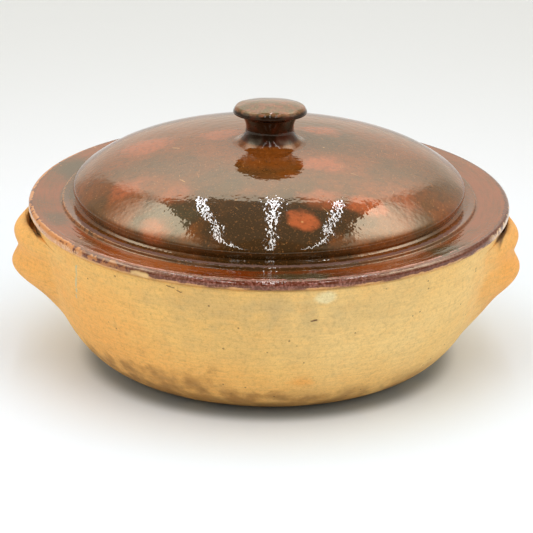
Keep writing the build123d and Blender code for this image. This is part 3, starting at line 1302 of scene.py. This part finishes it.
@dataclass
class Bowl:
    """The thrown bowl."""

    rim_radius: float = 148.0
    rim_height: float = 97.2
    mouth_radius: float = 139.5
    rim_round: float = 2.0
    foot_radius: float = 85.0
    knee_radius: float = 126.5
    wall_pull: Point = (141.0, 54.2)
    base_thickness: float = 8.5
    inner_wall_pull: Point = (132.5, 54.2)
    inner_knee_radius: float = 120.0
    glaze_overlap: float = 2.0
    glaze_depth: float = 4.0
    glaze_floor: float = 5.0
    wall_points: int = 240
    spacing: float = 1.7
    throwing: Throwing = field(
        default_factory=lambda: Throwing(
            wobble=0.15, wobble_size=7.0, ring_depth=0.16, ring_pitch=5.5, seed=3.0
        )
    )

    def wall_curve(self) -> tuple[Point, Point, Point]:
        """What the wall heads for at first and comes from at last, and where it ends."""
        return (self.knee_radius, 0.0), self.wall_pull, (self.rim_radius, self.rim_height)

    def wall(self) -> np.ndarray:
        """The wall's outer line, from the foot to the rim."""
        return bezier((self.foot_radius, 0.0), *self.wall_curve(), self.wall_points)

    def wall_radius(self, height: np.ndarray) -> np.ndarray:
        """The wall's outer radius at these heights."""
        line = self.wall()
        return np.interp(height, line[:, 1], line[:, 0])

    def outline(self) -> np.ndarray:
        """The whole bowl's outline, from the middle of its foot to the middle of its floor."""
        line = Outline().to(0, 0).to(self.foot_radius, 0)
        line.curve(*self.wall_curve(), self.rim_round)
        line.to(self.mouth_radius, self.rim_height, self.rim_round)
        line.curve(
            self.inner_wall_pull,
            (self.inner_knee_radius, self.base_thickness),
            (self.foot_radius, self.base_thickness),
        )
        return line.to(0, self.base_thickness).spaced(self.spacing)

    def build(self, clay: bpy.types.Material, glaze: bpy.types.Material) -> None:
        """Builds and dresses the bowl, glazed inside.

        Args:
            clay: The bare clay outside.
            glaze: The glaze inside.
        """
        piece = self.throwing.turn("dish", self.outline(), clay)
        piece.data.materials.append(glaze)
        centres = np.array([face.center for face in piece.data.polygons]) / MM
        reach = np.hypot(centres[:, 0], centres[:, 1])
        in_mouth = reach < self.mouth_radius + self.glaze_overlap
        off_wall = reach < self.wall_radius(centres[:, 2]) - self.glaze_depth
        inside = in_mouth & off_wall & (centres[:, 2] > self.glaze_floor)
        piece.data.polygons.foreach_set("material_index", inside.astype(np.int32))
        settle(piece, "dish", Body.DISH, Slot.CLAY)


@dataclass
class EarHandle:
    """An ear-shaped handle, pressed on to the wall and smoothed into it with wet hands."""

    side: Side
    reach: float
    fullness: float
    bowl: Bowl
    turn: float = 6.0
    half_angle: float = 26.0
    taper: float = 0.36
    end_sink: float = 4.5
    blend: float = 2.2
    bed: float = 0.5
    end_rise: float = 0.24
    crest_drop: float = 4.0
    depths: tuple[float, ...] = (5.4, 13.2, 22.0, 33.0, 42.0, 50.0, 59.5)
    insets: tuple[float, ...] = (6.8, 1.5, 3.9, 0.0, 7.0, 17.5, 28.0)
    lower_ridge: int = 3
    tail: float = 13.0
    crevice_depth: float = 13.5
    lip: float = 2.8
    lip_spread: float = 4.6
    buried: float = 2.8
    corner: float = 0.6
    lip_round: float = 1.0
    lip_fullness: float = 0.3
    least_crevice: float = 1.5
    least_line: float = 0.1
    back_gap: float = 0.5
    crevice_rows: tuple[int, ...] = (6, 4, 12, 7)
    rows: int = 78
    tail_rows: int = 16
    back_rows: int = 18
    columns: int = 121
    crowding: float = 0.35

    @staticmethod
    def spline(knots: np.ndarray, count: int) -> np.ndarray:
        """A smooth curve through points.

        Args:
            knots: The points, one to a row.
            count: How many points to give.

        Returns:
            The curve's points, one to a row.
        """
        t = distances(knots)
        n = len(t)
        steps = np.diff(t)
        system = np.zeros((n, n))
        right = np.zeros((n, knots.shape[1]))
        system[0, 0] = system[-1, -1] = 1.0
        for i in range(1, n - 1):
            system[i, i - 1 : i + 2] = steps[i - 1], 2 * (steps[i - 1] + steps[i]), steps[i]
            slopes = (knots[i + 1] - knots[i]) / steps[i], (knots[i] - knots[i - 1]) / steps[i - 1]
            right[i] = 6 * (slopes[0] - slopes[1])
        bends = np.linalg.solve(system, right)
        at = np.linspace(0, t[-1], count)
        k = np.clip(np.searchsorted(t, at, side="right") - 1, 0, n - 2)
        h = steps[k][:, None]
        a = (t[k + 1] - at)[:, None]
        b = (at - t[k])[:, None]
        return (
            bends[k] * a**3 / (6 * h)
            + bends[k + 1] * b**3 / (6 * h)
            + (knots[k] / h - bends[k] * h / 6) * a
            + (knots[k + 1] / h - bends[k + 1] * h / 6) * b
        )

    def outer_side(self, share: float, swells: np.ndarray, crest: float) -> np.ndarray:
        """The section's outer side, from the crest over both ridges down to the wall.

        Args:
            share: How far the section is from the ear's middle to its end, from -1 to 1.
            swells: How much of its full bulge the ear has at each depth.
            crest: The height of the ear's crest.

        Returns:
            Radii and heights in millimetres, one to a row.
        """
        wall = self.bowl.wall_radius
        depths = np.array(self.depths)
        heights = crest - (depths - depths[0]) * (1 - self.end_rise * share**2)
        ridge = depths[self.lower_ridge]
        foot = np.maximum(0.0, depths - ridge) / (depths[-1] - ridge)
        furthest = self.bowl.rim_radius + self.reach + self.fullness * foot
        bulges = furthest - np.array(self.insets) - wall(heights)
        bulges = (bulges + self.bed) * swells - self.end_sink * (1 - swells)
        line = self.spline(np.stack([bulges, heights], axis=1), self.rows)
        slope = (line[-1] - line[-3]) / np.linalg.norm(line[-1] - line[-3])
        tail = np.linspace(0, self.tail, self.tail_rows)[1:, None]
        line = np.concatenate([line, line[-1] + slope * tail])
        lifted = 0.5 * (line[:, 0] + np.sqrt(line[:, 0] ** 2 + self.blend**2)) - self.bed
        return np.stack([wall(line[:, 1]) + lifted, line[:, 1]], axis=1)

    def crevice(self, share: float, swell: float, crest: float, top: np.ndarray) -> np.ndarray:
        """The section of the crevice between the wall and the ear's lip, up to the crest.

        Args:
            share: How far the section is from the ear's middle to its end, from -1 to 1.
            swell: How much of its full bulge the ear has at its crest.
            crest: The height of the ear's crest.
            top: The first point of the outer side.

        Returns:
            Radii and heights in millimetres, one to a row.
        """
        wall = self.bowl.wall_radius
        lip = self.lip + self.lip_spread * share**2
        bottom = crest - (self.crevice_depth - self.depths[0]) * swell - self.least_crevice
        inner_top = top[0] - lip
        inner_bottom = inner_top - swell - (wall(crest) - wall(bottom))
        into_wall = wall(bottom) - self.buried
        start = (into_wall, bottom)
        floor_end = (max(inner_bottom - self.corner, into_wall + self.least_line), bottom)
        corner = (inner_bottom, bottom)
        lip_start = (inner_bottom, bottom + self.corner)
        lip_end = (inner_top, crest - self.lip_round)
        lip_pull = (inner_top, crest - self.least_line)
        lip_top = (inner_top + self.lip_fullness * lip, crest)
        floor, inner_corner, inner_side, rounded_lip = self.crevice_rows
        parts = (
            bezier(start, start, floor_end, floor_end, floor),
            bezier(floor_end, corner, corner, lip_start, inner_corner),
            np.linspace(lip_start, lip_end, inner_side),
            bezier(lip_end, lip_pull, lip_top, top, rounded_lip),
        )
        return np.concatenate([part[:-1] for part in parts])

    def section(self, share: float) -> np.ndarray:
        """The closed section this share of the way from the ear's middle to its end.

        Args:
            share: From -1 to 1.

        Returns:
            Radii and heights in millimetres, one to a row.
        """
        depths = np.array(self.depths)
        fall = (depths - depths[0]) / (depths[-1] - depths[0])
        swells = np.maximum(0.0, 1 - (share * (1 + self.taper * fall)) ** 2) ** 2
        crest = self.bowl.rim_height - depths[0] - self.crest_drop * share**2
        outer = self.outer_side(share, swells, crest)
        crevice = self.crevice(share, float(swells[0]), crest, outer[0])
        lowest, highest = outer[-1, 1] + self.back_gap, crevice[0, 1] - self.back_gap
        back = np.linspace(lowest, highest, self.back_rows)
        behind = np.stack([self.bowl.wall_radius(back) - self.buried, back], axis=1)
        return np.concatenate([crevice, outer, behind])

    def build(self, clay: bpy.types.Material) -> None:
        """Builds and dresses the handle.

        Args:
            clay: The bare clay it is made of.
        """
        even = np.linspace(-1, 1, self.columns)
        crowded = np.sin(even * math.pi / 2)
        shares = crowded * self.crowding + even * (1 - self.crowding)
        loops = []
        for share in shares:
            loop = self.section(float(share))
            angle = math.radians(share * self.half_angle - self.turn)
            x = loop[:, 0] * math.cos(angle) * self.side.value
            y = loop[:, 0] * math.sin(angle)
            loops.append(np.stack([x, y, loop[:, 1]], axis=1) * MM)
        count = len(loops[0])
        faces: list[tuple[int, ...]] = []
        for i in range(len(loops) - 1):
            for j in range(count):
                k = (j + 1) % count
                here, there = i * count, (i + 1) * count
                faces.append((here + j, here + k, there + k, there + j))
        faces.append(tuple(range(count)))
        last = (len(loops) - 1) * count
        faces.append(tuple(range(last, last + count)))
        name = f"{self.side.name.lower()}_handle"
        piece = mesh_object(name, np.concatenate(loops), faces)
        piece.data.materials.append(clay)
        finish_mesh(piece)
        settle(piece, name, Body.DISH, Slot.CLAY)


@dataclass
class Lid:
    """The thrown lid: a dome, a step ring round its foot, a wide flange and a collar under it."""

    bowl: Bowl
    flange_radius: float = 150.2
    flange_top: float = 102.9
    dome_radius: float = 122.5
    foot_radius: float = 120.6
    throat_radius: float = 114.5
    crown_height: float = 139.4
    crown_pull: float = 45.75
    inner_pull: float = 61.0
    inner_pull_drop: float = 6.55
    shoulder: Point = (110.7, 121.2)
    shoulder_pull: Point = (90.9, 133.9)
    side_pull: Point = (116.4, 117.5)
    side_rise: float = 3.4
    thickness: float = 6.5
    throat_round: float = 2.0
    step_in: float = 122.0
    step_out: float = 128.9
    step_foot: float = 129.6
    step_height: float = 1.1
    step_rise: float = 0.2
    foot_rise: float = 1.3
    foot_pull: Point = (1.0, 1.6)
    widest_rise: float = 5.0
    widest_pull: float = 1.8
    dish: float = 0.9
    edge_rounds: Point = (0.8, 2.8)
    bead_width: float = 5.4
    bead_rise: float = 0.05
    bead_foot: float = 8.0
    bead_drop: float = 0.25
    bead_rounds: Point = (1.5, 2.0)
    step_rounds: tuple[float, ...] = (0.6, 0.8, 0.5, 0.3)
    collar_radius: float = 137.9
    collar_width: float = 6.0
    collar_height: float = 5.0
    collar_round: float = 1.5
    spacing: float = 1.6
    throwing: Throwing = field(
        default_factory=lambda: Throwing(
            wobble=0.35, wobble_size=11.0, ring_depth=0.07, ring_pitch=7.0, seed=11.0
        )
    )

    def outline(self) -> np.ndarray:
        """The lid's outline, from under its crown to the top of its crown."""
        inner_crown = self.crown_height - self.thickness
        throat = self.throat_radius
        line = Outline().to(0, inner_crown)
        line.curve(
            (self.inner_pull, inner_crown),
            (throat, inner_crown - self.inner_pull_drop),
            (throat, self.flange_top),
        )
        line.to(throat, self.bowl.rim_height, self.throat_round)
        self.draw_collar(line)
        self.draw_flange(line)
        self.draw_step(line)
        self.draw_dome(line)
        return line.spaced(self.spacing)

    def draw_collar(self, line: Outline) -> None:
        """Draws the collar, from its inner face to its outer one.

        Args:
            line: The outline so far.
        """
        inside = self.collar_radius - self.collar_width
        foot = self.bowl.rim_height - self.collar_height
        line.to(inside, self.bowl.rim_height).to(inside, foot, self.collar_round)
        line.to(self.collar_radius, foot, self.collar_round)
        line.to(self.collar_radius, self.bowl.rim_height)

    def draw_flange(self, line: Outline) -> None:
        """Draws the flange's edge and the low bead along its top.

        Args:
            line: The outline so far.
        """
        edge, low = self.flange_radius, self.flange_top - self.bead_drop
        line.to(edge, self.bowl.rim_height, self.edge_rounds[0])
        line.to(edge, low, self.edge_rounds[1])
        line.to(edge - self.bead_width, self.flange_top + self.bead_rise, self.bead_rounds[0])
        line.to(edge - self.bead_foot, low, self.bead_rounds[1])

    def draw_step(self, line: Outline) -> None:
        """Draws the step ring, from the dished flange to the foot of the dome.

        Args:
            line: The outline so far.
        """
        top = self.flange_top + self.step_height
        corners = (
            (self.step_foot, self.flange_top - self.dish),
            (self.step_out, top),
            (self.step_in, top + self.step_rise),
            (self.foot_radius, top + self.foot_rise),
        )
        for corner, rounding in zip(corners, self.step_rounds):
            line.to(*corner, rounding)

    def draw_dome(self, line: Outline) -> None:
        """Draws the dome, from its tucked-in foot over its shoulder to its crown.

        Args:
            line: The outline so far.
        """
        foot = self.flange_top + self.step_height + self.foot_rise
        widest = foot + self.widest_rise
        line.curve(
            (self.foot_radius + self.foot_pull[0], foot + self.foot_pull[1]),
            (self.dome_radius, widest - self.widest_pull),
            (self.dome_radius, widest),
        )
        line.curve((self.dome_radius, widest + self.side_rise), self.side_pull, self.shoulder)
        line.curve(self.shoulder_pull, (self.crown_pull, self.crown_height), (0, self.crown_height))

    def build(self, glaze: bpy.types.Material) -> None:
        """Builds and dresses the lid.

        Args:
            glaze: Its glaze.
        """
        piece = self.throwing.turn("lid", self.outline(), glaze)
        settle(piece, "lid", Body.LID, Slot.GLAZE)


@dataclass
class Knob:
    """The lid's knob: a flared neck and a cap that was set on by hand and leans back."""

    base_height: float = 136.6
    base_edge: Point = (28.5, 137.6)
    flare_centre: Point = (25.5, 149.0)
    flare_radius: float = 10.5
    flare_start: float = 279.0
    flare_end: float = 142.0
    cap_under: Point = (17.6, 155.9)
    cap_radius: float = 23.6
    cap_height: float = 157.9
    cap_side: float = 4.9
    cap_side_in: float = 1.9
    cap_crown: float = 2.2
    crown_pulls: tuple[Point, Point] = ((14.0, 1.6), (7.0, 2.2))
    cap_rounds: tuple[float, ...] = (0.8, 1.6, 2.6)
    lean: float = 4.5
    lean_from: float = 151.0
    lean_to: float = 156.8
    unevenness: float = 0.5
    uneven_above: float = 3.0
    uneven_scale: float = 0.09
    seed: float = 7.0
    flare_points: int = 40
    spacing: float = 0.8
    throwing: Throwing = field(
        default_factory=lambda: Throwing(
            steps=128, wobble=0.2, wobble_size=40.0, ring_depth=0.05, ring_pitch=3.0, seed=5.0
        )
    )

    def outline(self) -> np.ndarray:
        """The upright knob's outline, from inside the lid to the top of its cap."""
        x, z = self.flare_centre
        line = Outline().to(0, self.base_height).to(*self.base_edge)
        for angle in np.linspace(self.flare_start, self.flare_end, self.flare_points):
            line.to(
                x + self.flare_radius * math.cos(math.radians(angle)),
                z + self.flare_radius * math.sin(math.radians(angle)),
            )
        side_top = self.cap_height + self.cap_side
        below, edge, above = self.cap_rounds
        line.to(*self.cap_under, below).to(self.cap_radius, self.cap_height, edge)
        line.to(self.cap_radius - self.cap_side_in, side_top, above)
        pulls = [(radius, side_top + rise) for radius, rise in self.crown_pulls]
        line.curve(*pulls, (0, side_top + self.cap_crown))
        return line.spaced(self.spacing)

    def build(self, glaze: bpy.types.Material) -> None:
        """Builds and dresses the knob.

        Args:
            glaze: Its glaze.
        """
        piece = self.throwing.turn("lid_knob", self.outline(), glaze)
        angle = math.radians(-self.lean)
        for vertex in piece.data.vertices:
            x, y, z = vertex.co / MM
            share = min(1.0, max(0.0, (z - self.lean_from) / (self.lean_to - self.lean_from)))
            share = share * share * (3 - 2 * share)
            if z > self.cap_height + self.uneven_above:
                place = Vector((x, y, self.seed)) * self.uneven_scale
                z -= self.unevenness * (0.5 + 0.5 * noise.noise(place))
            height = z - self.cap_height
            turn = angle * share
            y, height = (
                y * math.cos(turn) - height * math.sin(turn),
                y * math.sin(turn) + height * math.cos(turn),
            )
            vertex.co = Vector((x, y, self.cap_height + height)) * MM
        settle(piece, "lid_knob", Body.LID, Slot.GLAZE)


# The studio


class Ray:
    """The direction that is looked in, as the light box is laid out."""

    # the least rise, and the least square of the level part, that are divided by
    least_rise: float = 0.001
    least_level: float = 0.0001

    def __init__(self, w: Wiring) -> None:
        """Works it out from the world's coordinates, with y to the back and z up.

        Args:
            w: The world's wiring.
        """
        self.x, y, self.z = w.axes(w.result("ShaderNodeTexCoord", output="Generated"))
        up = w.maths("MAXIMUM", self.z, self.least_rise)
        self.aside = abs(self.x) / up
        self.back = y / up
        square = w.maths("MAXIMUM", 1.0 - self.z * self.z, self.least_level)
        level = w.maths("SQRT", square)
        self.facing = y / level


@dataclass
class Studio:
    """The pale floor, the light box round it, its lamps and the camera, in metres and radians."""

    floor_size: float = 9.0
    floor_colour: Colour = (0.92, 0.93, 0.935)
    # painted light: a cool tint of the floor near the bowl that cancels the orange light bounced from
    # the clay
    near_colour: Colour = (0.85, 0.905, 0.91)
    # painted shade: the floor darker and warmer towards the back
    far_colour: Colour = (0.82, 0.815, 0.77)
    # painted contact shadow: the floor's colour round the bowl's foot
    contact_colour: Colour = (0.26, 0.27, 0.23)
    floor_far: Fade = Fade(-350.0, 700.0)
    # how far the painted cool tint reaches from the bowl
    floor_near: Fade = Fade(400.0, 120.0)
    # painted contact shadow, fading out from the bowl's foot
    floor_contact: Fade = Fade(122.0, 106.0, 0.0, 0.75)
    floor_roughness: float = 0.85
    floor_gloss: float = 0.1
    ambient: float = 0.90
    backdrop: Colour = (0.9, 0.9, 0.88)
    halves: Span = (-0.1, 0.1)
    opening_sides: Span = (-0.80, -0.90)
    opening_top: Span = (0.85, 0.70)
    opening_light: float = 0.08
    opening_ambient: float = 0.4
    back_light: float = 0.95
    back_rise: float = 1.75
    back_heights: Span = (0.25, 0.80)
    back_corners: Span = (0.93, 0.88)
    warmth: Colour = (1.08, 1.01, 0.88)
    wall_offset: float = 0.425
    least_aside: float = 0.05
    wall_tops: Span = (0.89, 0.77)
    wall_top_blur: Span = (0.02, -0.02)
    wall_light: float = 0.6
    wall_gain: float = 0.5
    wall_gain_depths: Span = (0.75, 0.3)
    wall_rise: float = 4.9
    wall_rise_heights: Span = (0.0, 0.45)
    wall_to_front: Span = (0.45, -0.45, 1.0, 0.25)
    wall_foot: Span = (0.15, 0.62, 0.45, 1.0)
    wall_foot_depths: Span = (0.4, 0.75)
    wall_slope: float = 0.9
    wall_top_slope: float = 0.92
    right_gain: float = 1.15
    ceiling_light: float = 0.4
    ceiling_front: float = 0.4
    ceiling_depths: Span = (-0.3, -0.9)
    ceiling_sides: Span = (0.44, 0.41)
    ceiling_end: Span = (0.93, 0.89)
    strip_light: float = 18.0
    # each strip's distance to the right and how far it is swung
    strip_places: dict[str, Point] = field(
        default_factory=lambda: {
            "left": (-0.1725, -0.03),
            "middle": (0.012, 0.0),
            "right": (0.207, 0.09),
        }
    )
    strip_depth: float = -0.175
    strip_height: float = 0.65
    # a strip's target is this far off the upright, so that the strip runs to the back
    strip_tilt: float = 0.0001
    strip_size: Point = (0.012, 1.15)
    strip_tint: Colour = (0.92, 1.0, 1.2)
    fill_light: float = 1.2
    fill_place: Place = (1.5, -1.25, 1.05)
    fill_target: Place = (0.0, 0.0, 0.05)
    fill_size: Point = (1.2, 1.2)
    camera_place: Place = (0.0, -2.0618, 0.8345)
    camera_yaw: float = -0.0005
    camera_pitch: float = 0.361
    camera_roll: float = 0.0124
    lens: float = 236.4
    sensor_width: float = 36.0
    camera_range: Span = (0.05, 50.0)

    def build(self, effects: SharedEffects) -> None:
        """Builds the whole studio.

        Args:
            effects: The shared groups.
        """
        self.floor(effects)
        self.world()
        self.lamps()
        self.camera()

    def floor(self, effects: SharedEffects) -> None:
        """A large floor, with painted shade towards the back, a painted cool tint near the bowl that
        cancels the orange light bounced from the clay, and a painted contact shadow where the bowl
        meets it.

        Args:
            effects: The shared groups.
        """
        half = self.floor_size / 2
        corners = np.array([(-half, -half, 0), (half, -half, 0), (half, half, 0), (-half, half, 0)])
        floor = mesh_object("studio floor", corners, [(0, 1, 2, 3)])
        s = Surface("Pale floor", effects)
        # painted shade, darker and warmer towards the back
        s.colour = s.blend(self.floor_far.over(s.y), self.floor_colour, self.far_colour)
        # painted cool tint near the bowl, against the clay's orange bounce light
        s.lay(self.floor_near.over(s.reach), self.near_colour)
        # painted contact shadow round the bowl's foot
        s.lay(self.floor_contact.over(s.reach), self.contact_colour)
        s.feed(s.shader.inputs["Base Color"], s.colour)
        s.shader.inputs["Roughness"].default_value = self.floor_roughness
        s.shader.inputs["Specular IOR Level"].default_value = self.floor_gloss
        floor.data.materials.append(s.material)

    def walls(self, w: Wiring, ray: Ray) -> Amount:
        """The light of the side walls, which fade to the front and end at a slanting top edge.

        Args:
            w: The world's wiring.
            ray: The direction that is looked in.

        Returns:
            The light.
        """
        aside = w.maths("MAXIMUM", ray.aside, self.least_aside)
        height = w.maths("DIVIDE", self.wall_offset, aside)
        depth = height * ray.back
        brighter = height - w.maths("MAXIMUM", depth, 0.0) * self.wall_slope
        brightest = self.wall_light + self.wall_gain
        light = ray.facing.ramp(*self.wall_gain_depths, self.wall_light, brightest)
        light = light + brighter.ramp(*self.wall_rise_heights, 0.0, self.wall_rise)
        light = light * ray.x.ramp(*self.halves, 1.0, self.right_gain)
        light = light * ray.facing.ramp(*self.wall_to_front)
        above_foot = ray.z.ramp(*self.wall_foot)
        far_back = ray.facing.ramp(*self.wall_foot_depths)
        light = light * w.maths("MAXIMUM", above_foot, far_back)
        top = ray.x.ramp(*self.halves, *self.wall_tops)
        past_top = height - depth * self.wall_top_slope - top
        return light * past_top.ramp(*self.wall_top_blur, self.ceiling_light, 1.0)

    def light(self, w: Wiring, ray: Ray, opening: Amount) -> Amount:
        """The light of the whole box, as a mirror shows it.

        Args:
            w: The world's wiring.
            ray: The direction that is looked in.
            opening: The mask of the opening in front.

        Returns:
            The light.
        """
        light = ray.z.ramp(*self.back_heights, self.back_light, self.back_light + self.back_rise)
        light = light + ray.facing.ramp(*self.back_corners) * (self.walls(w, ray) - light)
        light = light * opening.ramp(0.0, 1.0, 1.0, self.opening_light)
        near = self.ceiling_light * self.ceiling_front
        ceiling = ray.facing.ramp(*self.ceiling_depths, self.ceiling_light, near)
        overhead = ray.aside.ramp(*self.ceiling_sides) * ray.back.ramp(*self.ceiling_end)
        return light + overhead * (ceiling - light)

    def world(self) -> None:
        """A light box: pale walls, a dark ceiling and a dark opening in front."""
        world = bpy.data.worlds.new("Light box")
        bpy.context.scene.world = world
        world.use_nodes = True
        w = Wiring(world.node_tree)
        ray = Ray(w)
        opening = ray.facing.ramp(*self.opening_sides) * ray.z.ramp(*self.opening_top)
        light = self.light(w, ray, opening)
        tinted = {number: light * share for number, share in enumerate(self.warmth)}
        mirrored = w.result("ShaderNodeCombineColor", tinted)
        shade = self.ambient * self.opening_ambient
        soft = w.blend(opening, (self.ambient,) * 3, (shade,) * 3)
        colour = w.blend(w.result("ShaderNodeLightPath", output="Is Glossy Ray"), soft, mirrored)
        seen = w.result("ShaderNodeLightPath", output="Is Camera Ray")
        background = world.node_tree.nodes["Background"]
        w.feed(background.inputs["Color"], w.blend(seen, colour, self.backdrop))
        background.inputs["Strength"].default_value = 1.0
        world.cycles.sampling_method = "NONE"

    def lamp(
        self,
        name: str,
        place: Place,
        target: Place,
        size: Point,
        light: float,
        swing: float = 0.0,
        tint: Colour = (1.0, 1.0, 1.0),
    ) -> bpy.types.Object:
        """An area lamp.

        Args:
            name: Its name.
            place: Where it hangs.
            target: What it points at.
            size: Its width and length.
            light: How bright its face is.
            swing: How far it is swung round the upright, in radians.
            tint: Its colour.

        Returns:
            The lamp.
        """
        data = bpy.data.lights.new(name, "AREA")
        data.shape = "RECTANGLE"
        data.size, data.size_y = size
        data.energy = light * math.pi * size[0] * size[1]
        lamp = bpy.data.objects.new(name, data)
        aim = (Vector(target) - Vector(place)).to_track_quat("-Z", "Y").to_matrix().to_4x4()
        swung = Matrix.Rotation(swing, 4, "Z")
        lamp.matrix_world = Matrix.Translation(place) @ swung @ aim
        data.color = tint
        lamp.visible_camera = False
        bpy.context.collection.objects.link(lamp)
        return lamp

    def lamps(self) -> None:
        """Three strips in the ceiling, and soft light on the front."""
        depth, height = self.strip_depth, self.strip_height
        for name, (x, swing) in self.strip_places.items():
            target = (x, depth + self.strip_tilt, 0.0)
            place = (x, depth, height)
            light, tint = self.strip_light, self.strip_tint
            self.lamp(f"{name} ceiling strip", place, target, self.strip_size, light, swing, tint)
        x, y, z = self.fill_place
        for name, side, gain in (("left", -1, 1.0), ("right", 1, self.right_gain)):
            light = self.fill_light * gain
            fill = self.lamp(f"{name} fill", (x * side, y, z), self.fill_target, self.fill_size, light)
            fill.visible_glossy = False

    def camera(self) -> None:
        """The camera, where the picture was taken from."""
        data = bpy.data.cameras.new("camera")
        data.sensor_width = self.sensor_width
        data.lens = self.lens
        data.clip_start, data.clip_end = self.camera_range
        camera = bpy.data.objects.new("camera", data)
        yaw, pitch, roll = self.camera_yaw, self.camera_pitch, self.camera_roll
        level_right = Vector((math.cos(yaw), -math.sin(yaw), 0))
        level_ahead = Vector((math.sin(yaw), math.cos(yaw), 0))
        ahead = level_ahead * math.cos(pitch) - Vector((0, 0, math.sin(pitch)))
        level_up = level_right.cross(ahead)
        right = level_right * math.cos(roll) + level_up * math.sin(roll)
        up = level_up * math.cos(roll) - level_right * math.sin(roll)
        turn = Matrix((right, up, -ahead)).transposed().to_4x4()
        camera.matrix_world = Matrix.Translation(self.camera_place) @ turn
        bpy.context.collection.objects.link(camera)
        bpy.context.scene.camera = camera


def main() -> None:
    """Builds the dish, its lid and the studio."""
    logging.basicConfig(level=logging.INFO, format="%(message)s")
    bpy.context.scene.view_settings.view_transform = "Standard"
    effects = SharedEffects()
    clay = Clay().material(effects)
    glaze = Glaze().material(effects)
    bowl = Bowl()
    bowl.build(clay, glaze)
    EarHandle(Side.LEFT, reach=12.65, fullness=2.5, bowl=bowl).build(clay)
    EarHandle(Side.RIGHT, reach=9.85, fullness=8.0, bowl=bowl).build(clay)
    Lid(bowl).build(glaze)
    knob_glaze = Glaze(name="Knob glaze", refraction=1.42, roughness=0.07)
    Knob().build(knob_glaze.material(effects))
    Studio().build(effects)


if __name__ == "__main__":
    main()
